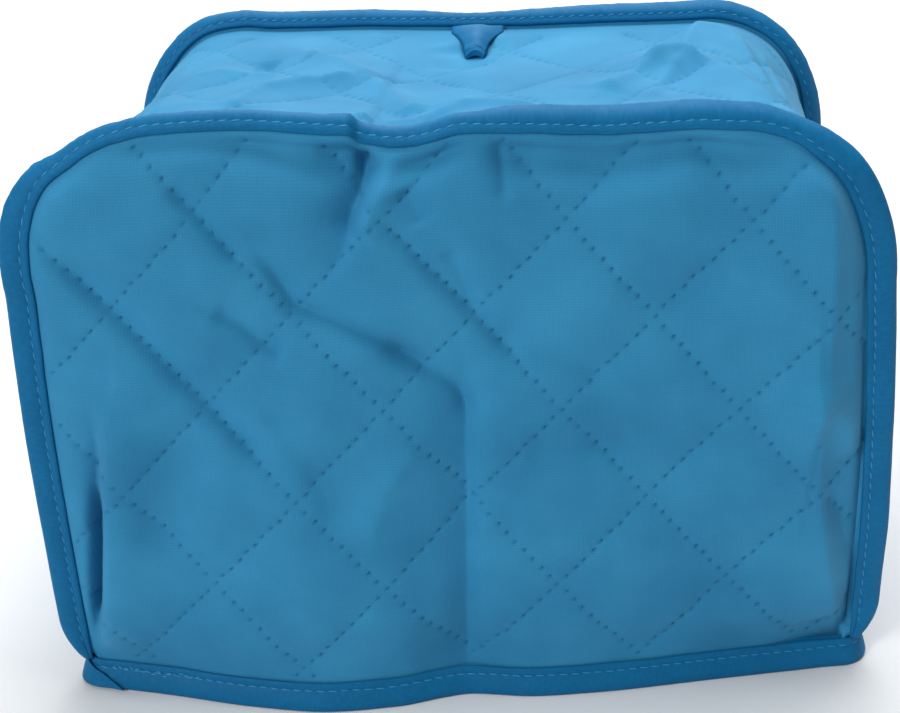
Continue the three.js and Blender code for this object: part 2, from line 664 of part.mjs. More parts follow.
/** The gusset: one strip up the left side, over the top and down the right side. */
function makeGusset() {
  const columns = gussetColumns();
  const outer = [];
  const inner = [];
  const samples = [];
  const footRow = (side, z) => {
    const cornerX = side * (ARCH.halfHem + 0.5 - HEM_CORNER);
    const x = side * (ARCH.halfHem + 0.5);
    const room = HEM_STACK / 2 + HEM_CORNER + HEM_LEAD + 0.5;
    const start = room - lookUp(FRONT.hem, 'x', 'out', cornerX);
    const finish = DEPTH - room + lookUp(BACK.hem, 'x', 'out', cornerX);
    const turned = 1.2; // what stands in the seam above lies flat here
    const inRow = columns.map((y) => {
      const part = (y - columns[0]) / (columns[columns.length - 1] - columns[0]);
      return mix(start + 2.2 * turned, finish - 2.2 * turned, part);
    });
    for (const y of [start, start + turned, ...inRow, finish - turned, finish]) {
      outer.push(new THREE.Vector3(x + (side * PRESSED) / 2, y, z));
      inner.push(new THREE.Vector3(x - (side * PRESSED) / 2, y, z));
    }
    samples.push(null);
  };
  footRow(-1, CLOTH_FOOT);
  footRow(-1, HEM_CLEAR);
  for (const along of STATIONS) {
    const front = seamFrame(FRONT, along);
    const back = seamFrame(BACK, along);
    const flange = (frame) => [
      [
        onSeam(frame, frame.width - EDGE_ROOM, GUSSET_BACK),
        onSeam(frame, frame.width - EDGE_ROOM, GUSSET_FACE),
      ],
      [onSeam(frame, 0, GUSSET_BACK), onSeam(frame, -CLOTH, GUSSET_FACE)],
    ];
    const row = [...flange(front)];
    for (const y of columns) {
      const part = y / DEPTH;
      const nearest = part < 0.5 ? front : back;
      const nearSeam = 1 - smooth(Math.min(y, DEPTH - y), SEAM_STACK + 2, SEAM_STACK + 16);
      const tucked = nearSeam * (0.4 + (SEAM_STACK + 0.3) * Math.sin(nearest.lean));
      const out = gussetOut(along, y) * (1 - nearSeam) - tucked;
      const x = mix(front.x, back.x, part);
      const z = mix(front.z, back.z, part);
      const shifted = y + nearSeam * nearest.facing * Math.abs(nearest.y - (part < 0.5 ? 0 : DEPTH));
      const at = (offset) => new THREE.Vector3(x + front.nx * offset, shifted, z + front.nz * offset);
      row.push([at(out), at(out - CLOTH)]);
    }
    row.push(...flange(back).reverse());
    outer.push(...row.map(([face]) => face));
    inner.push(...row.map(([, face]) => face));
    samples.push(along);
  }
  footRow(1, HEM_CLEAR);
  footRow(1, CLOTH_FOOT);
  const rows = samples.length;
  const width = outer.length / rows;
  const sampleAt = (row, column) => {
    const [low, high] = [samples[Math.floor(row)], samples[Math.ceil(row)]];
    const [left, right] = [Math.floor(column) - 2, Math.ceil(column) - 2];
    if (low === null || high === null || left < 0 || right >= columns.length) return 0;
    return gussetOut((low + high) / 2, (columns[left] + columns[right]) / 2);
  };
  const triangles = gridTriangles(rows, width, false, sampleAt);
  return sheetSolid('gusset', outer, inner, triangles, COLOURS.cloth);
}

/** The hanging loop: a tape that leaves the back seam, narrows to its tip and turns back under. */
function makeLoop() {
  const seam = seamFrame(BACK, 0);
  const outer = [];
  const inner = [];
  LOOP_PATH.forEach((step, i) => {
    const before = LOOP_PATH[Math.max(i - 1, 0)];
    const after = LOOP_PATH[Math.min(i + 1, LOOP_PATH.length - 1)];
    const run = new THREE.Vector2(before.y - after.y, after.z - before.z).normalize();
    for (let k = 0; k <= LOOP.across; k += 1) {
      const side = (2 * k) / LOOP.across - 1;
      const droop = LOOP.crown * side * side * (step.width / LOOP_PATH[0].width);
      const place = (offset) => new THREE.Vector3(
        LOOP.atX + (side * step.width) / 2,
        seam.y - SEAM_STACK - step.y + run.y * offset,
        seam.z + step.z - run.x * offset - droop,
      );
      outer.push(place(-TAPE / 2));
      inner.push(place(TAPE / 2));
    }
  });
  const triangles = gridTriangles(LOOP_PATH.length, LOOP.across + 1, false);
  return sheetSolid('hanging_loop', outer, inner, triangles, COLOURS.binding);
}

const cover = new THREE.Group();
cover.add(
  makePanel('front_panel', FRONT),
  makePanel('back_panel', BACK),
  makeGusset(),
  makeSeamBinding('front_binding', FRONT),
  makeSeamBinding('back_binding', BACK),
  makeHemBinding(),
  makeLoop(),
);
cover.updateMatrixWorld(true);
const extent = new THREE.Box3().setFromObject(cover);
const middle = extent.getCenter(new THREE.Vector3());
cover.position.set(-middle.x, -middle.y, -extent.min.z);

export default cover;
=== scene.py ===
"""A quilted cloth cover for a two-slice toaster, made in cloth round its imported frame.

The cover stands empty on its hem. Its front and back panels and its gusset are thin
quilted sheets, its two seams and its hem are bound with folded tape, and a loop of the
same tape is caught in the back seam. Sizes are in millimetres in the frame of the front
seam: X to the right, Y into the cover from the front seam, Z up from the floor.
"""

import logging
import math
from dataclasses import dataclass, field
from enum import Enum
from typing import Sequence

import bmesh
import bpy
import numpy as np
from mathutils import Matrix, Vector, noise


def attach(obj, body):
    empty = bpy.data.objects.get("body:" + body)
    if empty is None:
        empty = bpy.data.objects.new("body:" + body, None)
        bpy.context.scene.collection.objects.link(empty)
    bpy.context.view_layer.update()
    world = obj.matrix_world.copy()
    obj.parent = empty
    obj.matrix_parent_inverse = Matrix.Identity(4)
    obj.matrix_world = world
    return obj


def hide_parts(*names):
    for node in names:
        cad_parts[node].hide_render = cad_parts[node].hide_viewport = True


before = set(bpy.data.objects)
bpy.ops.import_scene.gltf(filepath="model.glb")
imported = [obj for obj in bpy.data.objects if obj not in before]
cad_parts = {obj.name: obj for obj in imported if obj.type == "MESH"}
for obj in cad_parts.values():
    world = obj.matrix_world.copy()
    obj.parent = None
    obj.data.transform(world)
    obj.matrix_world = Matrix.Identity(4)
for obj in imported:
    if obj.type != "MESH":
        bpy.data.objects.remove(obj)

LOG = logging.getLogger("toaster_cover")
MM = 0.001

# Driving sizes, as cut and sewn
DEPTH = 169.4  # front face of the front seam to back face of the back seam
BINDING_WIDTH = 9.5  # folded tape, from its fold over the edge to its inner fold
TAPE_THICK = 0.6
EDGE_ROOM = 1.4  # from the tape's fold down to the cloth's cut edge
CLOTH_THICK = 1.0
SEAM_STACK = 4.9  # the layers of a bound seam, tape and all
PANEL_MID = 1.8  # middle of the panel's cloth in that stack
GUSSET_MID = 3.1  # middle of the gusset's cloth in that stack
STITCH_IN = 2.3  # from the tape's inner fold to its stitches
STITCH_PITCH = 4.0
STITCH_HALF_LONG = 1.45
THREAD_RADIUS = 0.26
TAPE_FLAT = 22.0  # the tape's width before it is folded, over its two legs
SEAM_FOOT = 11.5  # lower ends of the two bound seams
HEM_STACK = 3.6
HEM_CORNER = 6.0
HEM_CLEAR = 10.0
UV_SPAN = 600.0  # millimetres of cloth to one turn of its UV map
PIN_SPAN = 16.0  # diamonds to one turn of the pins' UV map
WAVE_TURN = math.tau / 20  # length of one band of a wave texture at a scale of 1

Array = np.ndarray
Point = tuple[float, float]


def smooth(low: float, high: float, value: Array) -> Array:
    """Returns 0 below low, 1 above high, and a smooth step between them."""
    part = np.clip((np.asarray(value, float) - low) / (high - low), 0.0, 1.0)
    return part * part * (3.0 - 2.0 * part)


def flow(xs: Sequence[float], ys: Sequence[float], at: Array) -> Array:
    """Reads a table as one smooth curve that doesn't overshoot its rows.

    Args:
        xs: places of the rows, rising.
        ys: their values.
        at: places to read.

    Returns:
        The values there, level beyond the two ends.
    """
    x, y = np.asarray(xs, float), np.asarray(ys, float)
    at = np.clip(np.asarray(at, float), x[0], x[-1])
    step = np.diff(x)
    slope = np.diff(y) / step
    tangent = np.zeros(len(x))
    same = slope[:-1] * slope[1:] > 0
    mean = 2 * slope[:-1] * slope[1:] / np.where(same, slope[:-1] + slope[1:], 1.0)
    tangent[1:-1] = np.where(same, mean, 0.0)
    k = np.clip(np.searchsorted(x, at) - 1, 0, len(step) - 1)
    t = (at - x[k]) / step[k]
    return (
        y[k] * (1 + 2 * t) * (1 - t) ** 2
        + tangent[k] * step[k] * t * (1 - t) ** 2
        + y[k + 1] * t * t * (3 - 2 * t)
        + tangent[k + 1] * step[k] * t * t * (t - 1)
    )


def rumple(x: Array, y: Array, size: float, seed: float) -> Array:
    """Returns soft noise between about -1 and 1 with lumps of one size."""
    pairs = zip(np.ravel(x) / size, np.ravel(y) / size)
    return np.array([noise.noise((a, b, seed)) for a, b in pairs]).reshape(np.shape(x)) * 1.6


@dataclass(frozen=True)
class Stance:
    """How the empty cover leans: a little to the right at the back and to the left at the top."""

    back: float = 0.0874
    up: float = -0.0385
    level: float = 124.0
    middle: Point = (9.963, 82.936)

    def place(self, points: Array) -> Array:
        """Returns points of the seam frame, in millimetres, as places of the row frame in metres."""
        lean = self.back * points[:, 1] + self.up * (points[:, 2] - self.level)
        shift = np.column_stack((lean - self.middle[0], np.full(len(points), -self.middle[1])))
        placed = points.copy()
        placed[:, :2] += shift
        return placed * MM


STANCE = Stance()


class Profile(Enum):
    """What a crease looks like across its line, as the power of its fall."""

    SHARP = 1.0
    FOLD = 1.4
    ROLL = 2.0


@dataclass(frozen=True)
class Crease:
    """A ridge or trough along a line; lift is outwards, and the cloth falls away over reach.

    other is the reach on the right of the line as it is walked, where that differs.
    """

    line: tuple[Point, ...]
    lift: float
    reach: float
    other: float = 0.0
    profile: Profile = Profile.ROLL
    fade: float = 0.25

    def height(self, x: Array, y: Array) -> Array:
        """Returns how far the crease lifts the cloth at each place."""
        best = np.full(np.shape(x), np.inf)
        side = np.zeros(np.shape(x))
        along = np.zeros(np.shape(x))
        lengths = [math.dist(a, b) for a, b in zip(self.line, self.line[1:])]
        walked = 0.0
        for (ax, ay), (bx, by), length in zip(self.line, self.line[1:], lengths):
            dx, dy = bx - ax, by - ay
            part = np.clip(((x - ax) * dx + (y - ay) * dy) / length**2, 0, 1)
            off = np.hypot(x - ax - part * dx, y - ay - part * dy)
            near = off < best
            best = np.where(near, off, best)
            side = np.where(near, dx * (y - ay) - dy * (x - ax), side)
            along = np.where(near, (walked + part * length) / sum(lengths), along)
            walked += length
        reach = np.where(side < 0, self.other or self.reach, self.reach)
        ends = smooth(0, self.fade, along + 0.08) * smooth(0, self.fade, 1.08 - along)
        return self.lift * ends * np.exp(-((best / reach) ** self.profile.value))


@dataclass(frozen=True)
class Quilt:
    """The diamonds that the three layers are pinned together in, without thread."""

    at: Point
    lean: Point = (0.0, 0.0)
    half_wide: float = 28.6
    half_high: float = 31.6
    relief: float = 1.6
    softness: float = 0.58
    pins: int = 10  # to a diamond's side
    pin_deep: float = 0.7

    def diamonds(self, x: Array, y: Array) -> tuple[Array, Array]:
        """Returns where a place lies on the two families of pinned lines, whole on a line."""
        across = (x - self.at[0] - self.lean[0] * (y - self.at[1])) / self.half_wide
        up = (y - self.at[1] - self.lean[1] * (x - self.at[0])) / self.half_high
        return (across + up) / 2, (across - up) / 2

    def puff(self, x: Array, y: Array) -> Array:
        """Returns how far the wadding lifts the cloth, 0 along the lines."""
        a, b = self.diamonds(x, y)
        round_ = np.abs(np.sin(math.pi * a) * np.sin(math.pi * b))
        return self.relief * round_**self.softness

    def pin_places(self, low: Point, high: Point) -> Array:
        """Returns the x and y of every pin in a rectangle."""
        steps = np.arange(-PIN_SPAN * self.pins, PIN_SPAN * self.pins + 1) / self.pins
        lines = np.arange(-PIN_SPAN, PIN_SPAN + 1)
        first = np.array(np.meshgrid(lines, steps)).reshape(2, -1)
        both = np.unique(np.hstack((first, first[::-1])).round(6), axis=1)
        across = (both[0] + both[1]) * self.half_wide
        up = (both[0] - both[1]) * self.half_high
        # undo the lean of the two axes
        turn = 1 - self.lean[0] * self.lean[1]
        x = (across + self.lean[0] * up) / turn + self.at[0]
        y = (up + self.lean[1] * across) / turn + self.at[1]
        inside = (x > low[0]) & (x < high[0]) & (y > low[1]) & (y < high[1])
        return np.column_stack((x[inside], y[inside]))


def rise_in_height(rise: Array, upright: Array) -> Array:
    """Returns a seam's rise where it changes the height too, which the straight sides don't."""
    return rise * (np.abs(upright) > 0.05)


@dataclass(frozen=True)
class Arch:
    """The plain outline that both seams follow: two sides, two round corners and a top."""

    half_hem: float = 134.0
    half_spring: float = 131.0
    spring: float = 147.0
    corner_reach: float = 41.0
    top: float = 196.0

    def trace(self) -> Array:
        """Returns points from the left foot over the top to the right foot."""
        turn = np.linspace(0, math.pi / 2, 41)
        x = self.half_spring - self.corner_reach * (1 - np.sin(turn))
        corner = np.column_stack((x, self.spring + (self.top - self.spring) * np.cos(turn)))
        z = np.linspace(self.spring, 0, 40)[1:]
        x = self.half_hem - (self.half_hem - self.half_spring) * (z / self.spring) ** 3
        right = np.vstack(([[0, self.top]], corner, np.column_stack((x, z))))
        left = right[:0:-1] * (-1, 1)
        return np.vstack((left, right))


class ArchLine:
    """The arch with its lengths, measured from the middle of the top to the right."""

    def __init__(self, arch: Arch) -> None:
        """Traces the arch and measures it."""
        self.points = arch.trace()
        steps = np.hypot(*np.diff(self.points, axis=0).T)
        lengths = np.concatenate(([0], np.cumsum(steps)))
        self.lengths = lengths - lengths[-1] / 2
        run = np.gradient(self.points, self.lengths, axis=0)
        self.normals = np.column_stack((-run[:, 1], run[:, 0]))
        self.normals /= np.hypot(*self.normals.T)[:, None]

    def at(self, along: Array) -> tuple[Array, Array, Array, Array]:
        """Returns x, z and the outward normal's x and z at lengths along the arch."""
        read = [np.interp(along, self.lengths, column) for column in (*self.points.T, *self.normals.T)]
        return read[0], read[1], read[2], read[3]

    def along_at_height(self, z: float) -> float:
        """Returns the length at which the right side is down to a height."""
        half = self.lengths > 0
        return float(np.interp(-z, -self.points[half, 1], self.lengths[half]))

    def nearest(self, x: Array, z: Array) -> tuple[Array, Array]:
        """Finds the nearest place of the arch.

        Args:
            x: places across.
            z: heights.

        Returns:
            The length along the arch, and how far outside it each place is.
        """
        along, outside = np.zeros(len(x)), np.zeros(len(x))
        a, run = self.points[:-1], np.diff(self.points, axis=0)
        square = (run**2).sum(axis=1)
        for start in range(0, len(x), 4000):
            part = slice(start, start + 4000)
            px, pz = x[part, None] - a[:, 0], z[part, None] - a[:, 1]
            t = np.clip((px * run[:, 0] + pz * run[:, 1]) / square, 0, 1)
            off = np.hypot(px - t * run[:, 0], pz - t * run[:, 1])
            k = off.argmin(axis=1)
            row = np.arange(len(k))
            side = run[k, 0] * pz[row, k] - run[k, 1] * px[row, k]
            along[part] = self.lengths[k] + t[row, k] * np.sqrt(square[k])
            outside[part] = off[row, k] * np.sign(side)
        return along, outside


ARCH = ArchLine(Arch())
SEAM_END = ARCH.along_at_height(SEAM_FOOT)


@dataclass(frozen=True)
class Wander:
    """How a seam departs from the plain arch at a length along it.

    rise is outwards, back is into the cover, lean tips the whole flange that way and
    curl rolls what is beyond its stitches, both in degrees.
    """

    along: float
    rise: float = 0.0
    back: float = 0.0
    lean: float = 0.0
    curl: float = 0.0


def wander_rows(*rows: tuple[float, ...]) -> tuple[Wander, ...]:
    """Returns a seam's wander from rows of along, rise, back, lean and curl."""
    return tuple(Wander(*row) for row in rows)


@dataclass
class Seam:
    """One bound seam, with the flange that its layers stand up in."""

    plane: float
    facing: int
    wander: tuple[Wander, ...]
    foot_width: float = 2.8
    full_width_at: float = 27.0
    press: float = 0.3  # how much thinner the layers are where they are rolled over

    def read(self, column: str, along: Array) -> Array:
        """Returns one column of the wander at lengths along the seam."""
        rows = self.wander
        return flow([row.along for row in rows], [getattr(row, column) for row in rows], along)

    def width(self, along: Array) -> Array:
        """Returns the flange's width, less where it is tucked down at the hem."""
        height = ARCH.at(along)[1]
        low = SEAM_FOOT - 2.5
        part = np.clip((height - low) / (self.full_width_at - low), 0, 1)
        return self.foot_width + (BINDING_WIDTH - self.foot_width) * (1 - (1 - part) ** 2.2)

    def point(self, along: Array, out: Array, through: Array) -> Array:
        """Places points of the flange.

        Args:
            along: lengths along the seam.
            out: how far out from the seam line.
            through: depth in the layers, 0 at the seam's outer face.

        Returns:
            One row of x, y, z for each.
        """
        along, out, through = np.broadcast_arrays(along, out, through)
        x, z, nx, nz = ARCH.at(along)
        rise, lean = self.read("rise", along), np.radians(self.read("lean", along))
        curl = np.radians(self.read("curl", along))
        width = self.width(along)
        middle = SEAM_STACK / 2

        def tip(reached: Array) -> Array:
            """Returns how far the flange has turned into the cover."""
            past = np.clip((reached - STITCH_IN) / np.maximum(width - STITCH_IN, 0.5), 0, 1)
            return lean * smooth(0, 2.0, reached) + curl * smooth(0, 0.36, past)

        steps = 10
        parts = [tip(np.maximum(out, 0) * (k + 0.5) / steps) for k in range(steps)]
        climb = np.maximum(out, 0) * np.mean(np.cos(parts), axis=0) + np.minimum(out, 0)
        inward = np.maximum(out, 0) * np.mean(np.sin(parts), axis=0)
        end = tip(out)
        rolled = np.clip(np.abs(curl) / (math.pi / 2), 0, 1) * smooth(0.5, 3.0, out)
        layer = (through - middle) * (1 - self.press * rolled)
        across = climb - layer * np.sin(end)
        deep = inward + middle + layer * np.cos(end)
        y = self.plane + self.facing * (self.read("back", along) + deep)
        height = z + nz * (rise_in_height(rise, nz) + across)
        return np.column_stack((x + nx * (rise + across), y, height))


FRONT_SEAM = Seam(
    plane=0.0,
    facing=1,
    wander=wander_rows(
        (-285, 0, 0, 0, 0),
        (-203, 0.3, 0, 0, 0),
        (-182, 0.1, 0, 0, 0),
        (-165, 0.0, 0, 0, 0),
        (-151, 1.0, 0, 2, 4),
        (-138, 2.3, 0, 4, 16),
        (-126, 2.8, 0, 8, 52),
        (-113, 1.1, 0, 12, 98),
        (-98, 1.2, 0, 14, 112),
        (-84, 2.7, 0, 14, 112),
        (-62, 3.4, 0, 14, 112),
        (-46, 2.4, 0, 14, 110),
        (-36, 1.4, 0.5, 14, 104),
        (-28.2, 1.1, 0.4, 12, 92),
        (-26.2, -1.6, 3.0, 12, 100),
        (-22, -2.8, 3.6, 12, 104),
        (-16, -3.6, 3.2, 12, 104),
        (-10, -3.2, 2.6, 12, 102),
        (-3, -1.5, 1.6, 12, 102),
        (6, 0.9, 0.8, 12, 100),
        (13, 1.1, 0.3, 10, 84),
        (22, 1.0, 0, 8, 66),
        (48, 0.1, 0, 8, 58),
        (63, 0.6, 0, 8, 58),
        (78, 1.3, 0, 8, 58),
        (93, 0.7, 0, 8, 62),
        (104, 0.8, 0, 6, 76),
        (115, 0.6, 0, 3, 52),
        (128, 0.8, 0, 0, 8),
        (142, 0.2, 0, 0, 0),
        (200, 0.6, 0, 0, 0),
        (250, 1.0, 1.5, 0, 0),
        (285, 0.6, 4.5, 0, 0),
    ),
)
BACK_SEAM = Seam(
    plane=DEPTH,
    facing=-1,
    wander=wander_rows(
        (-285, 0, 0, 0, 0),
        (-190, 1.2, 0, 0, -16),
        (-160, 3.2, 0, -4, -44),
        (-135, 4.6, 0, -6, -60),
        (-112, 4.4, 0, -8, -66),
        (-96, 2.2, 0, -8, -74),
        (-78, 1.0, 0, -8, -74),
        (-48, 1.3, 0, -8, -74),
        (-24, 1.0, 0.5, -8, -80),
        (0, 0.6, 1.0, -10, -92),
        (20, 0.6, 0.5, -8, -78),
        (50, 1.2, 0, -8, -66),
        (84, 1.6, 0, -8, -62),
        (104, 3.4, 0, -8, -60),
        (125, 5.4, 0, -8, -60),
        (150, 3.6, 0, -4, -44),
        (190, 0.2, 0, 0, -16),
        (285, 0, 0, 0, 0),
    ),
)


FRONT_HEM: tuple[Point, ...] = (
    (-137, 0.0), (-117, 3.3), (-102, 6.6), (-73, 13.6), (-48, 17.0), (-24, 14.4), (-11, 10.4),
    (0, 8.2), (22, 10.2), (45, 8.5), (80, 3.2), (109, -1.2), (137, -4.6),
)
BACK_HEM: tuple[Point, ...] = (
    (-137, 0.0), (-100, 5.0), (-50, 10.5), (-12, 9.0), (0, 7.0), (14, 9.5), (60, 12.0),
    (105, 5.0), (137, 0.0),
)
HEM_SIDES = (-134.8, 137.0)  # middle of the hem's tape on the left and on the right

FRONT_QUILT = Quilt(at=(4.2, 76.9), lean=(0.045, -0.025))
BACK_QUILT = Quilt(at=(-9.0, 70.0), lean=(0.02, 0.0))
GUSSET_QUILT = Quilt(at=(14.3, 140.0))

FOLD, ROLL, SHARP = Profile.FOLD, Profile.ROLL, Profile.SHARP
FRONT_CREASES = (
    # deep trough inside the left seam, and the fold standing beside it
    Crease(((-115.5, 108), (-118, 92), (-121, 72)), -3.4, 1.8, 2.6, FOLD, fade=0.6),
    Crease(((-120, 84), (-121, 77), (-123.4, 60), (-127, 38), (-131, 18)), -9.5, 2.4, fade=0.4),
    Crease(((-110, 112), (-115, 77), (-117, 62), (-121, 38), (-127, 12)), 4.5, 12.0, 4.5),
    # right-hand fold, with the cloth beyond it falling back to the seam
    Crease(((116, 192), (119, 160), (119.3, 133), (117, 106)), 6.5, 7.0, 18.0, SHARP, fade=0.12),
    Crease(((117, 108), (117.8, 78), (121, 55), (128, 20)), 6.0, 6.0, 15.0, SHARP, fade=0.12),
    Crease(((117, 118), (127, 100), (131, 86)), 3.0, 4.0, 6.0, FOLD),
    Crease(((121, 74), (126, 62), (130, 44)), -2.6, 4.0, profile=FOLD),
    # packing crease down the middle
    Crease(((3.6, 122), (2.8, 95), (1.2, 54), (-1.2, 1)), -5.0, 4.0, 8.0, FOLD),
    # wedge under the kinked top
    Crease(((-23, 200), (-24.5, 186), (-31, 164)), -7.0, 2.4, 7.0, FOLD),
    Crease(((-16, 192), (-18.5, 184), (-27, 166)), 3.4, 8.0, 3.0, FOLD),
    Crease(((-40, 190), (-14, 188), (8, 192)), -3.6, 4.0),
    # slanting folds, which follow the quilted lines for part of their way
    Crease(
        ((-57.9, 161), (-53.4, 152.5), (-48.8, 143.7), (-37.4, 139.3), (-22.4, 132), (-8.9, 122)),
        -4.6,
        6.0,
        2.6,
        FOLD,
    ),
    Crease(((-22.4, 131), (-8.9, 121.5), (0.2, 115), (4, 104)), -3.2, 5.0, 2.6, FOLD),
    Crease(((-74.6, 143), (-65.7, 138), (-59.4, 131), (-52.4, 127)), -3.2, 5.0, 2.6, FOLD),
    Crease(((-84, 181), (-77.4, 173.8), (-63.8, 157.6)), -3.4, 5.0, 2.8, FOLD),
    Crease(((-122, 161), (-107.4, 142.9), (-94, 127), (-78, 108), (-60, 87)), -3.6, 8.0, 3.0, FOLD),
    Crease(((-20.2, 172.4), (-6, 155), (7, 140.1), (20, 124)), -2.4, 5.0, 2.6, FOLD),
    Crease(((-60, 114), (-47, 92), (-38, 66)), -2.4, 9.0, 5.0),
    Crease(((-98, 196), (-57.4, 191.5), (-29.5, 183.4)), -3.6, 8.0, 4.0),
    Crease(((-13, 183), (-8.9, 175), (-6.2, 170)), -2.4, 4.0),
    Crease(((-0.5, 162), (3.6, 152.5), (7.7, 140)), -2.2, 4.0, profile=FOLD),
    Crease(((13.8, 136), (21.5, 131), (27.7, 129), (43.4, 122), (49.8, 124)), -2.2, 5.5),
    Crease(((22, 96), (40, 90), (58, 97)), -1.8, 6.0),
    Crease(((52, 152), (72, 146), (92, 154)), -1.8, 7.0),
    Crease(((-10, 100), (-24, 82), (-30, 60)), 2.2, 7.0, profile=FOLD),
    Crease(((-104, 60), (-92, 84), (-86, 100)), -2.0, 9.0),
    # hollow under the right-hand top
    Crease(((10, 189), (47, 187.5), (62.5, 188.7), (74.5, 190.6), (114, 185)), -5.5, 6.5),
    Crease(((16, 196), (17.5, 186), (18, 176)), -2.0, 2.2, profile=FOLD),
)
BACK_CREASES = (
    Crease(((2, 180), (1, 3)), -2.4, 6.0),
    Crease(((-88, 170), (-58, 150), (-30, 120)), -2.2, 7.0, 4.0, FOLD),
    Crease(((40, 176), (60, 158), (84, 128)), -2.2, 7.0, 4.0, FOLD),
    Crease(((112, 150), (118, 30)), 2.4, 8.0),
    Crease(((-114, 120), (-120, 26)), 2.2, 8.0),
    Crease(((-60, 84), (-20, 44)), 1.6, 9.0),
)
GUSSET_CREASES = (
    # ridges of the left-hand top, which meet at its front corner
    Crease(((-97, 43), (-103, 76), (-99, 98), (-88, 104), (-68, 96)), 3.4, 8.0, 10.0, SHARP, 0.15),
    Crease(((-74, 44), (-68, 70), (-56, 83), (-40, 90)), 4.6, 10.0, 6.0, SHARP, 0.15),
    Crease(((-62, 129), (-48, 112), (-35, 94), (-24, 72), (-13, 51)), 4.0, 7.0, 9.0, SHARP, 0.15),
    Crease(((-76, 124), (-74, 106)), -3.2, 4.0),
    Crease(((-112, 56), (-113, 96), (-106, 134)), 1.8, 2.6, profile=FOLD),
    Crease(((-121, 54), (-123, 96), (-117, 126)), 1.6, 2.6, profile=FOLD),
    # the long ridge of the right-hand top, and the facet that falls away beyond it
    Crease(((50, 70), (62, 90), (72, 101), (84, 102)), 5.4, 12.0, 8.0, SHARP, 0.15),
    Crease(((80, 102), (92, 93), (101, 72), (116, 42)), 5.0, 5.0, 11.0, SHARP, 0.15),
    Crease(((66, 95), (76, 112), (86, 146), (94, 164)), 4.6, 5.0, 14.0, SHARP, 0.15),
    Crease(((90, 128), (101, 102), (114, 56)), 2.0, 2.6, profile=FOLD),
    Crease(((101, 146), (110, 110), (119, 60)), 2.0, 2.8, profile=FOLD),
    Crease(((113, 138), (119, 104), (123, 62)), 1.8, 2.6, profile=FOLD),
    Crease(((78, 98), (70, 78), (64, 58)), 2.0, 3.0, 6.0, FOLD),
    Crease(((-18.7, 54.3), (6.1, 49.7), (30, 40)), 3.4, 6.0, 4.0, FOLD),
    Crease(((-34, 30), (-14, 40), (2, 48)), 3.0, 6.0, 4.0, FOLD),
    Crease(((-8, 148), (0, 138), (2, 120)), -3.2, 11.0),
    Crease(((-190, 40), (-250, 110)), 3.6, 9.0, 6.0, FOLD),
    Crease(((180, 50), (240, 120)), 3.6, 9.0, 6.0, FOLD),
    Crease(((-175, 130), (-215, 96)), -3.0, 9.0, 6.0, FOLD),
    Crease(((170, 128), (210, 84)), -3.0, 9.0, 6.0, FOLD),
    Crease(((-150, 60), (-178, 84), (-200, 92)), 2.6, 7.0, profile=FOLD),
    Crease(((150, 70), (172, 92), (196, 96)), 2.6, 7.0, profile=FOLD),
)


def cloth_grid(name: str, columns: int, rows: int) -> tuple[bpy.types.Object, Array, Array]:
    """Lays out a flat grid of cloth cells to be shaped.

    Args:
        name: the piece's name.
        columns: cells across.
        rows: cells up.

    Returns:
        The object, and each vertex's place across and up from 0 to 1.
    """
    bpy.ops.object.select_all(action="DESELECT")
    bpy.ops.mesh.primitive_grid_add(x_subdivisions=columns, y_subdivisions=rows, size=2)
    piece = bpy.context.object
    piece.name = piece.data.name = name
    places = np.empty(len(piece.data.vertices) * 3)
    piece.data.vertices.foreach_get("co", places)
    places = places.reshape(-1, 3) / 2 + 0.5
    return piece, places[:, 0], places[:, 1]


def give_uv(piece: bpy.types.Object, name: str, u: Array, v: Array) -> None:
    """Gives a piece a UV map from one pair of numbers for each vertex."""
    mesh = piece.data
    layer = mesh.uv_layers.get(name) or mesh.uv_layers.new(name=name)
    corners = np.empty(len(mesh.loops), dtype=np.int64)
    mesh.loops.foreach_get("vertex_index", corners)
    layer.uv.foreach_set("vector", np.column_stack((u[corners], v[corners])).ravel())


def give_value(piece: bpy.types.Object, name: str, values: Array) -> None:
    """Gives each vertex of a piece one number that its material reads."""
    layer = piece.data.attributes.new(name, "FLOAT", "POINT")
    layer.data.foreach_set("value", values.astype(np.float32))


def drop_vertices(piece: bpy.types.Object, gone: Array) -> None:
    """Cuts away the cells of a grid that have a vertex in gone."""
    bm = bmesh.new()
    bm.from_mesh(piece.data)
    bm.verts.ensure_lookup_table()
    bmesh.ops.delete(bm, geom=[bm.verts[k] for k in np.flatnonzero(gone)], context="VERTS")
    loose = [vert for vert in bm.verts if not vert.link_faces]
    bmesh.ops.delete(bm, geom=loose, context="VERTS")
    bm.to_mesh(piece.data)
    bm.free()


def apply_modifiers(piece: bpy.types.Object) -> None:
    """Applies every modifier of a piece, in their order."""
    bpy.ops.object.select_all(action="DESELECT")
    piece.select_set(True)
    bpy.context.view_layer.objects.active = piece
    for modifier in list(piece.modifiers):
        bpy.ops.object.modifier_apply(modifier=modifier.name)


def finish_sheet(piece: bpy.types.Object, thick: float, finish: bpy.types.Material) -> bpy.types.Object:
    """Gives a sheet its thickness, half to each side, smooths its shading and dresses it."""
    wall = piece.modifiers.new("thickness", "SOLIDIFY")
    wall.thickness = thick * MM
    wall.offset = 0.0
    apply_modifiers(piece)
    bpy.ops.object.shade_smooth()
    piece.data.materials.append(finish)
    return piece


def settle_mesh(piece: bpy.types.Object, points: Array) -> None:
    """Puts the vertices of a piece at points of the seam frame."""
    piece.data.vertices.foreach_set("co", STANCE.place(points).astype(np.float32).ravel())
    piece.data.update()


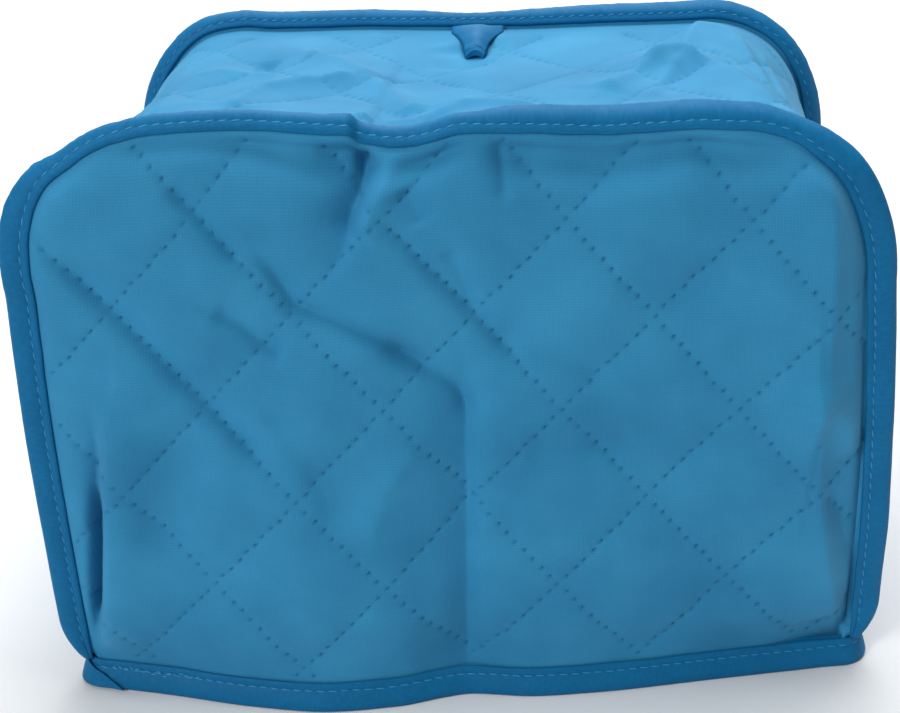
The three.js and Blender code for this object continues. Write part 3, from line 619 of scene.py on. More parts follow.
def snap_to_pins(x: Array, y: Array, pins: Array, cell: Point) -> Array:
    """Moves the nearest vertex of a flat grid onto each pin, so that no pin is missed.

    Args:
        x: the vertices' places across, changed here.
        y: the vertices' places up, changed here.
        pins: places of the pins.
        cell: size of a grid cell.

    Returns:
        1 for each vertex that is on a pin, and 0 for the others.
    """
    order = {
        (round(a / cell[0]), round(b / cell[1])): k
        for k, (a, b) in enumerate(zip(x - x.min(), y - y.min()))
    }
    low_x, low_y = x.min(), y.min()
    on_pin = np.zeros(len(x))
    for px, py in pins:
        k = order.get((round((px - low_x) / cell[0]), round((py - low_y) / cell[1])))
        if k is not None:
            x[k], y[k], on_pin[k] = px, py, 1.0
    return on_pin


class Shader:
    """A material's node tree, with one way to add a node."""

    def __init__(self, name: str) -> None:
        """Starts a material that has only its Principled shader."""
        self.material = bpy.data.materials.new(name)
        self.material.use_nodes = True
        self.tree = self.material.node_tree
        self.surface = self.tree.nodes["Principled BSDF"]

    def add(self, kind: str, inputs: dict | None = None, **settings: object) -> bpy.types.Node:
        """Adds a node.

        Args:
            kind: the node's Blender type.
            inputs: values or output sockets for its inputs, by name or number.
            settings: the node's own properties.

        Returns:
            The new node.
        """
        node = self.tree.nodes.new(kind)
        for key, value in settings.items():
            setattr(node, key, value)
        for key, value in (inputs or {}).items():
            if isinstance(value, bpy.types.NodeSocket):
                self.tree.links.new(value, node.inputs[key])
            else:
                node.inputs[key].default_value = value
        return node

    def set(self, values: dict[str, object]) -> None:
        """Sets what is the same all over the surface on the Principled shader's own inputs."""
        for socket, value in values.items():
            self.surface.inputs[socket].default_value = value

    def link(self, source: bpy.types.NodeSocket, socket: str) -> None:
        """Joins an output to one of the Principled shader's inputs."""
        self.tree.links.new(source, self.surface.inputs[socket])


def linear(colour: str) -> tuple[float, float, float, float]:
    """Returns an sRGB hex colour as linear values."""
    parts = [int(colour[k : k + 2], 16) / 255 for k in (1, 3, 5)]
    red, green, blue = [p / 12.92 if p < 0.04045 else ((p + 0.055) / 1.055) ** 2.4 for p in parts]
    return red, green, blue, 1.0


@dataclass(frozen=True)
class BrushedPolyester:
    """Plain woven polyester face cloth over thin wadding, brushed a little.

    A dull mid blue with a faint thread grid, cloudy where the pile lies another way,
    with a pale sheen at grazing angles; each welded pin is painted darker, as painted shade in its dimple.
    """

    name: str = "brushed_polyester"
    deep: str = "#21739e"
    mid: str = "#277ca7"
    light: str = "#2f86b1"
    # painted shade: the darker colour laid on each pin, standing in for the shade in its dimple
    pin: str = "#1b6d9a"
    roughness: float = 0.78
    thread: float = 0.9  # real threads are 0.2 mm apart, and drawn coarser here to show
    cloud: float = 46.0  # patches where the pile lies another way
    grain: float = 1.3  # slubs in the threads
    fuzz: float = 0.9  # fibres raised by the brushing

    def build(self) -> bpy.types.Material:
        """Returns the finished material."""
        shader = Shader(self.name)
        add = shader.add
        uv = add("ShaderNodeUVMap", uv_map="cloth").outputs["UV"]
        clouds = add(
            "ShaderNodeTexNoise",
            {"Vector": uv, "Scale": UV_SPAN / self.cloud, "Detail": 3.0, "Roughness": 0.55},
        )
        tint = add("ShaderNodeValToRGB", {"Fac": clouds.outputs["Fac"]})
        tint.color_ramp.elements[0].position = 0.3
        tint.color_ramp.elements[0].color = linear(self.deep)
        tint.color_ramp.elements[1].position = 0.72
        tint.color_ramp.elements[1].color = linear(self.light)
        middle = tint.color_ramp.elements.new(0.5)
        middle.color = linear(self.mid)
        pinned = add("ShaderNodeAttribute", attribute_name="pin").outputs["Fac"]
        warp, weft = self.threads(shader, uv, "X"), self.threads(shader, uv, "Y")
        grid = add("ShaderNodeMath", {0: warp, 1: weft}, operation="MULTIPLY")
        slubs = add(
            "ShaderNodeTexNoise",
            {"Vector": uv, "Scale": UV_SPAN / self.grain, "Detail": 3.0, "Roughness": 0.7},
        )
        speck = add("ShaderNodeMath", {0: grid.outputs[0], 1: slubs.outputs["Fac"]}, operation="ADD")
        spread = add(
            "ShaderNodeMapRange",
            {"Value": speck.outputs[0], "From Min": 0.3, "From Max": 1.2, "To Min": 0.93, "To Max": 1.07},
        )
        # mixes the pin colour in where the pin attribute is 1: painted shade in each pin's dimple
        pin_shade_tint = add(
            "ShaderNodeMix",
            {0: pinned, 6: tint.outputs["Color"], 7: linear(self.pin)},
            data_type="RGBA",
        )
        colour = add(
            "ShaderNodeMix",
            {0: 1.0, 6: pin_shade_tint.outputs[2], 7: spread.outputs["Result"]},
            data_type="RGBA",
            blend_type="MULTIPLY",
        )
        shader.link(colour.outputs[2], "Base Color")
        fuzz = add("ShaderNodeTexNoise", {"Vector": uv, "Scale": UV_SPAN / self.fuzz, "Detail": 2.0})
        weave = add("ShaderNodeMath", {0: grid.outputs[0], 1: fuzz.outputs["Fac"]}, operation="ADD")
        bump = add("ShaderNodeBump", {"Height": weave.outputs[0], "Strength": 0.16, "Distance": 0.12 * MM})
        shader.link(bump.outputs["Normal"], "Normal")
        shader.set({"Roughness": self.roughness, "Specular IOR Level": 0.25})
        shader.set({"Sheen Weight": 0.22, "Sheen Roughness": 0.45, "Sheen Tint": linear("#9fd4f0")})
        return shader.material

    def threads(self, shader: Shader, uv: bpy.types.NodeSocket, axis: str) -> bpy.types.NodeSocket:
        """Returns the ribs of the threads that run one way."""
        wave = shader.add(
            "ShaderNodeTexWave",
            {"Vector": uv, "Scale": WAVE_TURN * UV_SPAN / self.thread, "Distortion": 0.6, "Detail": 1.0},
            bands_direction=axis,
        )
        return wave.outputs["Fac"]


@dataclass(frozen=True)
class BiasTape:
    """Smooth woven polyester tape, pressed into folds.

    Brighter and cleaner than the quilted cloth, with fine slanting threads and a
    satin sheen where it rolls over the edge.
    """

    name: str = "woven_tape"
    base: str = "#055a88"
    pale: str = "#09699a"
    cloud: float = 22.0
    grain: float = 1.1  # slubs in the threads
    roughness: float = 0.6
    thread: float = 0.7  # drawn coarser than the real 0.25 mm, which wouldn't show

    def build(self) -> bpy.types.Material:
        """Returns the finished material."""
        shader = Shader(self.name)
        add = shader.add
        uv = add("ShaderNodeUVMap", uv_map="cloth").outputs["UV"]
        turned = add("ShaderNodeMapping", {"Vector": uv, "Rotation": (0, 0, math.radians(45))})
        clouds = add("ShaderNodeTexNoise", {"Vector": uv, "Scale": UV_SPAN / self.cloud, "Detail": 2.0})
        colour = add(
            "ShaderNodeMix",
            {0: clouds.outputs["Fac"], 6: linear(self.base), 7: linear(self.pale)},
            data_type="RGBA",
        )
        slubs = add("ShaderNodeTexNoise", {"Vector": uv, "Scale": UV_SPAN / self.grain, "Detail": 3.0})
        spread = add(
            "ShaderNodeMapRange",
            {"Value": slubs.outputs["Fac"], "From Min": 0.3, "From Max": 0.7, "To Min": 0.9, "To Max": 1.1},
        )
        grained = add(
            "ShaderNodeMix",
            {0: 1.0, 6: colour.outputs[2], 7: spread.outputs["Result"]},
            data_type="RGBA",
            blend_type="MULTIPLY",
        )
        shader.link(grained.outputs[2], "Base Color")
        ribs = add(
            "ShaderNodeTexWave",
            {
                "Vector": turned.outputs["Vector"],
                "Scale": WAVE_TURN * UV_SPAN / self.thread,
                "Distortion": 0.4,
                "Detail": 1.0,
            },
            bands_direction="X",
        )
        bump = add("ShaderNodeBump", {"Height": ribs.outputs["Fac"], "Strength": 0.2, "Distance": 0.1 * MM})
        shader.link(bump.outputs["Normal"], "Normal")
        shader.set({"Roughness": self.roughness, "Specular IOR Level": 0.14})
        shader.set({"Sheen Weight": 0.03, "Sheen Roughness": 0.4, "Sheen Tint": linear("#b8e0f5")})
        return shader.material


@dataclass(frozen=True)
class SewingThread:
    """Spun polyester thread in the tape's own blue, a little shiny from its twist."""

    name: str = "spun_thread"
    base: str = "#2484b6"
    roughness: float = 0.5
    twist: float = 0.5

    def build(self) -> bpy.types.Material:
        """Returns the finished material."""
        shader = Shader(self.name)
        place = shader.add("ShaderNodeTexCoord").outputs["Object"]
        ply = shader.add(
            "ShaderNodeTexWave",
            {"Vector": place, "Scale": WAVE_TURN / (self.twist * MM), "Distortion": 1.0},
            bands_direction="DIAGONAL",
        )
        height = ply.outputs["Fac"]
        bump = shader.add("ShaderNodeBump", {"Height": height, "Strength": 0.4, "Distance": 0.08 * MM})
        shader.link(bump.outputs["Normal"], "Normal")
        shader.set({"Base Color": linear(self.base), "Roughness": self.roughness})
        return shader.material


@dataclass
class Panel:
    """The front or the back panel: one quilted sheet, with the seam allowance that it is sewn by."""

    name: str
    seam: Seam
    quilt: Quilt
    hem: tuple[Point, ...]
    creases: tuple[Crease, ...]
    belly: float
    cell: float = 1.15
    foot_end: float = 133.4  # the sheet's foot ends here, inside the hem's corners
    seed: float = 0.0

    def out(self, x: Array, z: Array, inside: Array) -> Array:
        """Returns how far the panel's face stands out from the plane of its seam.

        Args:
            x: places across.
            z: heights.
            inside: how far each place is inside the seam.

        Returns:
            Millimetres outwards.
        """
        top, clear = Arch().top, HEM_CLEAR
        hem = flow(*zip(*self.hem), x)
        fade = np.clip((top - z) / (top - clear), 0, 1) ** 1.2
        free = smooth(clear, clear + 24, z) * (1 - np.exp(-np.maximum(inside, 0) / 6))
        settled = smooth(0.5, 5, inside) * smooth(clear - 6, clear + 14, z)
        out = hem * np.where(z < clear, 1.0, fade) + self.belly * free
        for crease in self.creases:
            out = out + settled * crease.height(x, z)
        out = out + settled * (self.quilt.puff(x, z) - 0.4)
        ripple = 0.9 * rumple(x, z, 36, self.seed) + 0.34 * rumple(x, z * 1.5, 15, self.seed + 9)
        return out + settled * ripple

    def build(self, finish: bpy.types.Material) -> bpy.types.Object:
        """Makes the sheet and dresses it."""
        low, high = (-147.0, 1.5), (147.0, 210.0)
        columns = round((high[0] - low[0]) / self.cell)
        rows = round((high[1] - low[1]) / self.cell)
        piece, u, v = cloth_grid(self.name + "_cloth", columns, rows)
        cell = ((high[0] - low[0]) / columns, (high[1] - low[1]) / rows)
        x, z = low[0] + u * (high[0] - low[0]), low[1] + v * (high[1] - low[1])
        on_pin = snap_to_pins(x, z, self.quilt.pin_places(low, high), cell)
        along, outside = ARCH.nearest(x, z)
        edge = self.seam.width(along) - EDGE_ROOM
        in_hem_corner = (z < BINDING_WIDTH - 0.4) & (np.abs(x) > self.foot_end)
        gone = (outside > edge + 0.6 * self.cell) | in_hem_corner
        along = np.clip(along, -SEAM_END - 4, SEAM_END + 4)

        on_pin *= smooth(-1.0, -3.0, outside) * (z > HEM_CLEAR + 1)
        out = self.out(x, z, -outside)
        near = smooth(-34, 0, outside)
        nx, nz = ARCH.at(along)[2:]
        rise = self.seam.read("rise", along) * near
        deep = PANEL_MID + self.seam.read("back", along) * near - out
        deep = deep + self.quilt.pin_deep * on_pin
        y = self.seam.plane + self.seam.facing * deep
        face = np.column_stack((x + nx * rise, y, z + nz * rise_in_height(rise, nz)))
        flange = self.seam.point(along, np.clip(outside, 0, edge), np.full(len(x), PANEL_MID))
        points = np.where((outside > 0)[:, None], flange, face)
        points = self.round_corner(points, x, z)
        settle_mesh(piece, points)
        give_uv(piece, "cloth", x / UV_SPAN + 0.5, z / UV_SPAN + 0.5)
        # the pin attribute marks where the material paints shade into the pins' dimples
        give_value(piece, "pin", on_pin)
        drop_vertices(piece, gone)
        return finish_sheet(piece, CLOTH_THICK, finish)

    def round_corner(self, points: Array, x: Array, z: Array) -> Array:
        """Returns the points with the foot of the sheet carried round inside the hem's corners."""
        straight = np.where(x < 0, -HEM_SIDES[0], HEM_SIDES[1]) - HEM_CORNER
        turn = np.radians(np.clip((np.abs(x) - straight) * 9.5, 0, 50))
        hem = flow(*zip(*self.hem), np.clip(x, -straight, straight))
        back = self.seam.plane + self.seam.facing * (PANEL_MID - hem + HEM_CORNER * (1 - np.cos(turn)))
        side = np.sign(x) * (straight + HEM_CORNER * np.sin(turn))
        bent = np.column_stack((side, back, points[:, 2]))
        share = (1 - smooth(HEM_CLEAR - 0.5, HEM_CLEAR + 4, z)) * (np.abs(x) > straight)
        return points + share[:, None] * (bent - points)


@dataclass
class Gusset:
    """The long strip up the left side, over the top and down the right side."""

    quilt: Quilt
    creases: tuple[Crease, ...]
    name: str = "gusset_cloth"
    top_sag: float = 6.5
    side_pull: float = 3.0
    sag_ends: Point = (105, 175)  # the top's sag fades out between these lengths
    pull_starts: Point = (115, 185)
    sunk: float = 0.9  # how far the strip lies below the seam line
    cell: float = 1.5
    bend: tuple[Point, ...] = ((0.0, 3.15), (-0.7, 3.5), (-1.1, 4.3), (-1.3, 5.5))
    flange: tuple[float, ...] = (1.0, 0.7, 0.4, 0.15)
    turn_end: float = 7.0
    settle: float = 10.0

    def out(self, along: Array, y: Array) -> Array:
        """Returns how far the strip stands off the straight run from seam to seam."""
        run = np.clip((y - SEAM_STACK) / (DEPTH - 2 * SEAM_STACK), 0, 1)
        low, high = self.settle - 4, self.settle + 8
        free = smooth(low, high, y) * smooth(low, high, DEPTH - y)
        on_top = 1 - smooth(*self.sag_ends, np.abs(along))
        on_side = smooth(*self.pull_starts, np.abs(along))
        above_hem = smooth(0, 40, SEAM_END - np.abs(along))
        sag = self.top_sag * on_top + self.side_pull * on_side * above_hem
        out = -sag * np.sin(math.pi * run)
        for crease in self.creases:
            out = out + free * crease.height(along, y)
        puff = self.quilt.puff(along, y) - 0.4
        ripple = 0.7 * rumple(along, y, 38, 3.0) + 0.3 * rumple(along, y, 16, 7.0)
        return out + free * np.minimum(1, above_hem + 0.2) * (puff + ripple)

    def sections(self) -> tuple[Array, Array, Array]:
        """Lists the columns across the strip, from the front seam to the back one.

        Returns:
            Each column's place out of the seam, its depth from its seam, and the
            seam it belongs to: 0 and 1 in the two flanges, -1 between them.
        """
        inner = np.arange(self.turn_end, DEPTH - self.turn_end, self.cell)
        turned = len(self.flange)
        out = [*self.flange, *[o for o, _ in self.bend], *[-self.sunk] * len(inner)]
        deep = [*[GUSSET_MID] * turned, *[d for _, d in self.bend], *inner]
        out += [o for o, _ in self.bend[::-1]] + list(self.flange[::-1])
        deep += [DEPTH - d for _, d in self.bend[::-1]] + [DEPTH - GUSSET_MID] * turned
        seams = [0] * turned + [-1] * (len(out) - 2 * turned) + [1] * turned
        return np.array(out), np.array(deep), np.array(seams)

    def build(self, finish: bpy.types.Material) -> bpy.types.Object:
        """Makes the strip and dresses it."""
        outs, deeps, seams = self.sections()
        end = ARCH.along_at_height(1.5)
        rows = round(2 * end / self.cell)
        piece, u, v = cloth_grid(self.name, len(outs) - 1, rows)
        column = np.rint(u * (len(outs) - 1)).astype(int)
        along = (2 * v - 1) * end
        depth = deeps[column].copy()
        inside = (seams[column] < 0) & (depth >= self.turn_end) & (depth <= DEPTH - self.turn_end)
        on_pin = self.pin_vertices(along, depth, inside, 2 * end / rows)

        x, z, nx, nz = ARCH.at(along)
        part = depth / DEPTH
        near = 1 - smooth(SEAM_STACK + 2, SEAM_STACK + 16, np.minimum(depth, DEPTH - depth))
        front, back = FRONT_SEAM, BACK_SEAM
        rise = front.read("rise", along) * (1 - part) + back.read("rise", along) * part
        shift = np.where(part < 0.5, front.read("back", along), -back.read("back", along)) * near
        lift = self.out(along, depth) * (1 - near) - self.quilt.pin_deep * on_pin
        lift = lift + np.where(inside, -self.sunk - 0.4 * near, outs[column])
        climb = rise_in_height(rise, nz) + lift
        points = np.column_stack((x + nx * (rise + lift), depth + shift, z + nz * climb))
        for number, seam in enumerate((front, back)):
            mine = seams[column] == number
            reach = outs[column[mine]] * (seam.width(along[mine]) - EDGE_ROOM)
            points[mine] = seam.point(along[mine], reach, np.full(mine.sum(), GUSSET_MID))
        points = self.tuck_feet(points, along, column, len(outs) - 1)
        settle_mesh(piece, points)
        give_uv(piece, "cloth", along / UV_SPAN + 0.5, depth / UV_SPAN + 0.5)
        # the pin attribute marks where the material paints shade into the pins' dimples
        give_value(piece, "pin", on_pin)
        return finish_sheet(piece, CLOTH_THICK, finish)

    def pin_vertices(self, along: Array, depth: Array, inside: Array, row: float) -> Array:
        """Moves vertices onto the pins, changing along and depth, and returns which those are."""
        on_pin = np.zeros(len(along))
        mine = np.flatnonzero(inside)
        a, d = along[mine], depth[mine]
        pins = self.quilt.pin_places((a.min(), d.min() + 8), (a.max(), d.max() - 8))
        on_pin[mine] = snap_to_pins(a, d, pins, (row, self.cell))
        along[mine], depth[mine] = a, d
        return on_pin * (np.abs(along) < SEAM_END - 2)

    def tuck_feet(self, points: Array, along: Array, column: Array, last: int) -> Array:
        """Returns the points with the strip's two ends laid flat inside the hem."""
        height = ARCH.at(along)[1]
        foot = 1 - smooth(HEM_CLEAR - 0.4, SEAM_FOOT + 0.6, height)
        side = np.where(along < 0, *HEM_SIDES)
        room = HEM_STACK / 2 + HEM_CORNER + 3.5
        start = room - flow(*zip(*FRONT_HEM), side)
        finish = DEPTH - room + flow(*zip(*BACK_HEM), side)
        y = start + (finish - start) * column / last
        flat = np.column_stack((side, y, height))
        return points + foot[:, None] * (flat - points)


@dataclass(frozen=True)
class TapeSection:
    """The folded tape across its length, as (out, through) from its inner fold.

    The rows run from the turned-in raw edge of one leg, round its inner fold and up
    to the edge fold. They are for the outer leg, and the other leg mirrors them.
    """

    turned_in: tuple[Point, ...] = ((1.7, 1.0), (0.6, 1.0), (0.12, 0.86))
    inner_fold: tuple[Point, ...] = ((-0.05, 0.6), (0.12, 0.38), (0.7, 0.3))
    stitched: tuple[Point, ...] = ((1.5, 0.38), (2.05, 0.56), (2.3, 0.66), (2.55, 0.56))
    puffed: tuple[Point, ...] = ((3.3, 0.32), (4.6, 0.16), (6.0, 0.14), (7.0, 0.22))
    edge_fold: tuple[Point, ...] = ((-1.5, 0.42), (-0.85, 0.8), (-0.45, 1.35))
    crest: float = 0.3  # how far the fold over the edge stays inside the width
    raw_leg: float = 1.0  # the leg over the gusset stops this far out from the seam

    def leg(self, width: Array) -> list[tuple[Array, float]]:
        """Returns one leg's rows for a finished width, the last ones measured from the edge."""
        fixed = [*self.turned_in, *self.inner_fold, *self.stitched, *self.puffed]
        room = (width - 2.4) / (BINDING_WIDTH - 2.4)
        rows = [(np.where(o > 0, o * np.clip(room, 0.2, 1), o) + 0 * width, t) for o, t in fixed]
        return rows + [(width + o, t) for o, t in self.edge_fold]

    def columns(self) -> int:
        """Returns how many columns the two legs and the fold between them have."""
        return 2 * len(self.leg(np.array([BINDING_WIDTH]))) + 1

    def lay(self, column: Array, width: Array, stack: float) -> tuple[Array, Array]:
        """Places each vertex of a tape in its section.

        Args:
            column: the vertices' columns.
            width: the tape's finished width there.
            stack: thickness of the layers between the tape's two faces.

        Returns:
            How far out each vertex is, and its depth in the layers.
        """
        last = self.columns() - 1
        out, through = width - self.crest, np.full(len(width), stack / 2)
        for side, (reach, deep) in enumerate(self.leg(width)):
            slip = self.raw_leg * (1 - smooth(0.0, 5.0, reach))
            out = np.where(column == side, reach, np.where(column == last - side, reach + slip, out))
            through = np.where(column == side, deep, through)
            through = np.where(column == last - side, stack - deep, through)
        return out, through

    @staticmethod
    def puff(length: Array, out: Array, through: Array, width: Array, wave: Array, stack: float) -> Array:
        """Puffs a tape beyond its stitches.

        Args:
            length: places along the tape.
            out: how far out each vertex is.
            through: its depth in the layers.
            width: the tape's finished width there.
            wave: how far the free part stands off.
            stack: thickness of the layers between the tape's two faces.

        Returns:
            The new depths.
        """
        outer = np.sign(stack / 2 - through)
        free = smooth(STITCH_IN, STITCH_IN + 2.5, out) * (1 - smooth(-1.5, 0, out - width))
        between = 0.1 * np.cos(2 * math.pi * length / STITCH_PITCH)
        near = np.exp(-(((out - STITCH_IN) / 1.2) ** 2))
        return through - outer * (free * wave + near * between)


@dataclass
class SeamBinding:
    """The tape folded over one bound seam, edge stitched through all its layers."""

    name: str
    seam: Seam
    seed: float
    section: TapeSection = field(default_factory=TapeSection)
    step: float = 1.0
    foot_drop: float = 1.6  # the ends reach down to the hem's tape
    gathered: Point = (124.0, 20.0)  # where the tape gathers at a round corner, and over how far

    def build(self, finish: bpy.types.Material) -> bpy.types.Object:
        """Makes the tape and dresses it."""
        end = SEAM_END + self.foot_drop
        rows = round(2 * end / self.step)
        columns = self.section.columns()
        piece, u, v = cloth_grid(self.name + "_tape", columns - 1, rows)
        column = np.rint(u * (columns - 1)).astype(int)
        along = (2 * v - 1) * end
        width = self.seam.width(along) + 0.22 * rumple(along, along * 0, 26, self.seed)
        out, through = self.section.lay(column, width, SEAM_STACK)
        out, through = self.pucker(along, out, through, width)
        settle_mesh(piece, self.seam.point(along, out, through))
        give_uv(piece, "cloth", along / UV_SPAN + 0.5, column * TAPE_FLAT / columns / UV_SPAN)
        return finish_sheet(piece, TAPE_THICK, finish)

    def pucker(self, along: Array, out: Array, through: Array, width: Array) -> tuple[Array, Array]:
        """Returns the section's places with the small waves that the stitches pull in."""
        wave = 0.5 * rumple(along, out * 2.5 + along * 0.6, 9, self.seed + 2)
        fine = 0.2 * rumple(along, out + along * 0.9, 3.4, self.seed + 5)
        at, spread = self.gathered
        corner = np.exp(-(((np.abs(along) - at) / spread) ** 2)) * (through < SEAM_STACK / 2)
        gather = 0.35 * corner * np.sin(along * 0.9 + out * 0.35 + 2 * wave)
        stands = np.abs(0.6 * wave + fine + gather)
        puffed = self.section.puff(along, out, through, width, stands, SEAM_STACK)
        wavy = out + 0.14 * rumple(along, along * 0, 8, self.seed + 4) * (out < 1.5)
        return wavy, puffed


def sew(name: str, centres: Array, runs: Array, finish: bpy.types.Material) -> bpy.types.Object:
    """Lays a row of stitches, each a short length of thread that dips in at its ends.

    Args:
        name: the piece's name.
        centres: middles of the stitches, in the seam frame.
        runs: the ways they point.
        finish: the thread's material.

    Returns:
        One joined piece.
    """
    bpy.ops.object.select_all(action="DESELECT")
    bpy.ops.mesh.primitive_uv_sphere_add(segments=6, ring_count=6, radius=1.0)
    model = bpy.context.object
    ball = np.array([vert.co[:] for vert in model.data.vertices])
    faces = [tuple(face.vertices) for face in model.data.polygons]
    bpy.data.objects.remove(model)
    body = ball * (THREAD_RADIUS, THREAD_RADIUS, STITCH_HALF_LONG)
    points, polygons = [], []
    for centre, run in zip(centres, runs):
        turn = Vector((0, 0, 1)).rotation_difference(Vector(run)).to_matrix()
        polygons += [tuple(k + len(points) * len(body) for k in face) for face in faces]
        points.append(body @ np.array(turn).T + centre)
    mesh = bpy.data.meshes.new(name)
    placed = STANCE.place(np.vstack(points))
    mesh.from_pydata(placed.tolist(), [], polygons)
    piece = bpy.data.objects.new(name, mesh)
    bpy.context.collection.objects.link(piece)
    for face in mesh.polygons:
        face.use_smooth = True
    mesh.materials.append(finish)
    return piece


def stitch_seam(name: str, seam: Seam, through: float, finish: bpy.types.Material) -> bpy.types.Object:
    """Sews one face of a bound seam from foot to foot."""
    along = np.arange(-SEAM_END + 3, SEAM_END - 2, STITCH_PITCH)
    wobble = 0.18 * rumple(along, along * 0, 11, seam.plane + through)
    # the leg over the gusset starts a little further out
    out = STITCH_IN + wobble + (0.7 if through > 1 else 0.0)
    centre = seam.point(along, out, np.full(len(along), through))
    ahead = seam.point(along + 0.5, out + 0.06, np.full(len(along), through))
    return sew(name, centre, ahead - centre, finish)


@dataclass
class HemBinding:
    """The tape round the open hem, with a folded end lapped at the front left corner."""

    name: str = "hem_binding"
    section: TapeSection = TapeSection(
        edge_fold=((-1.5, 0.42), (-0.85, 0.8), (-0.45, 0.9)), crest=0.32, raw_leg=0.0
    )
    step: float = 1.3
    lean: float = 3.4  # the hem's lower edge stands out further than its upper one
    path: Array = field(init=False)
    runs: Array = field(init=False)

    def __post_init__(self) -> None:
        """Traces the hem and the way that it runs."""
        self.path = self.trace()
        ahead, behind = np.roll(self.path, -1, axis=0), np.roll(self.path, 1, axis=0)
        self.runs = (ahead - behind) / np.hypot(*(ahead - behind).T)[:, None]

    def trace(self) -> Array:
        """Returns the middle line of the hem on the floor, anticlockwise from the left."""
        middle = HEM_STACK / 2
        x = np.linspace(HEM_SIDES[0] + HEM_CORNER, HEM_SIDES[1] - HEM_CORNER, 180)
        front = np.column_stack((x, middle - flow(*zip(*FRONT_HEM), x)))
        back = np.column_stack((x, DEPTH - middle + flow(*zip(*BACK_HEM), x)))[::-1]
        corners = (
            (front[-1], (0, 1), -90),
            (back[0], (0, -1), 0),
            (back[-1], (0, -1), 90),
            (front[0], (0, 1), 180),
        )
        turns = []
        for end, inward, first in corners:
            angle = np.radians(first + np.linspace(0, 90, 9)[1:-1])
            centre = end + np.array(inward) * HEM_CORNER
            turns.append(centre + HEM_CORNER * np.column_stack((np.cos(angle), np.sin(angle))))
        path = [front, turns[0], turns[1], back, turns[2], turns[3]]
        line = np.vstack(path + [front[:1]])
        steps = np.concatenate(([0], np.cumsum(np.hypot(*np.diff(line, axis=0).T))))
        count = round(steps[-1] / self.step)
        even = np.linspace(0, steps[-1], count + 1)[:-1]
        return np.column_stack([np.interp(even, steps, line[:, k]) for k in (0, 1)])

    def place(self, at: Array, out: Array, through: Array) -> Array:
        """Places points of the tape.

        Args:
            at: places along the middle line, in its steps.
            out: down from the tape's upper fold.
            through: depth in the layers, 0 at the outer face.

        Returns:
            One row of x, y, z for each.
        """
        path = self.path
        count = len(path)
        low = np.floor(at).astype(int)
        part = (at - low)[:, None]
        point = path[low % count] * (1 - part) + path[(low + 1) % count] * part
        run = self.runs[low % count] * (1 - part) + self.runs[(low + 1) % count] * part
        run /= np.hypot(*run.T)[:, None]
        off = HEM_STACK / 2 - through + self.lean * out / BINDING_WIDTH
        return np.column_stack(
            (point[:, 0] + run[:, 1] * off, point[:, 1] - run[:, 0] * off, BINDING_WIDTH - out)
        )

    def build(self, finish: bpy.types.Material) -> bpy.types.Object:
        """Makes the tape and dresses it."""
        count = len(self.path)
        columns = self.section.columns()
        piece, u, v = cloth_grid(self.name + "_tape", columns - 1, count)
        column = np.rint(u * (columns - 1)).astype(int)
        at = v * count
        width = np.full(len(at), BINDING_WIDTH)
        out, through = self.section.lay(column, width, HEM_STACK)
        length = at * self.step
        wave = 0.3 * np.abs(rumple(length, out * 2 + length * 0.6, 10, 21.0))
        through = self.section.puff(length, out, through, width, wave, HEM_STACK)
        out = out + 0.25 * rumple(length, length * 0, 17, 23.0) * (out < 1.5)
        points = self.place(at, out, through)
        settle_mesh(piece, points)
        give_uv(piece, "cloth", length / UV_SPAN, column * (TAPE_FLAT / columns) / UV_SPAN)
        self.close(piece)
        end = self.folded_end()
        bpy.ops.object.select_all(action="DESELECT")
        end.select_set(True)
        piece.select_set(True)
        bpy.context.view_layer.objects.active = piece
        bpy.ops.object.join()
        return finish_sheet(piece, TAPE_THICK, finish)

    def folded_end(self) -> bpy.types.Object:
        """Lays the tape's last end, turned under on the slant, over its start at the corner."""
        piece, u, v = cloth_grid("tape_end", 14, 16)
        corners = np.array([(-7.6, 0.3), (-5.0, 0.0), (6.4, 8.3), (-8.6, 8.6)])
        low = corners[0] + u[:, None] * (corners[1] - corners[0])
        high = corners[3] + u[:, None] * (corners[2] - corners[3])
        spot = low + v[:, None] * (high - low)
        # its slanting edge is a soft fold, and the rest lies on the tape
        roll = 0.5 * np.exp(-(((1 - u) / 0.12) ** 2))
        points = self.place(spot[:, 0] % len(self.path), spot[:, 1], -0.42 - roll - 0.5 * v * u)
        settle_mesh(piece, points)
        give_uv(piece, "cloth", spot[:, 0] * self.step / UV_SPAN, spot[:, 1] / UV_SPAN + 0.2)
        return piece

    def close(self, piece: bpy.types.Object) -> None:
        """Joins the last section of the tape to the first."""
        weld = piece.modifiers.new("join", "WELD")
        weld.merge_threshold = 0.02 * MM
        apply_modifiers(piece)

    def stitches(self, finish: bpy.types.Material) -> bpy.types.Object:
        """Sews the tape's outer face all round."""
        at = np.arange(0, len(self.path), STITCH_PITCH / self.step)
        out = STITCH_IN + 0.2 * rumple(at, at * 0, 9, 31.0)
        centre = self.place(at, out, np.full(len(at), 0.3))
        ahead = self.place(at + 0.4, out + 0.04, np.full(len(at), 0.3))
        stitches = [(centre, ahead - centre)]
        # the seam starts and ends here, over a few crossed stitches
        count = 16
        at = np.linspace(3, 27, count)
        out = 1.9 + 1.5 * rumple(at * 2, at * 0, 3, 33.0)
        slant = 0.5 * rumple(at * 3, at * 0, 2, 35.0)
        centre = self.place(at, out, np.full(count, 0.15))
        ahead = self.place(at + 0.3, out + slant, np.full(count, 0.05))
        stitches.append((centre, ahead - centre))
        centres, runs = (np.vstack(rows) for rows in zip(*stitches))
        return sew("hem_stitches", centres, runs, finish)


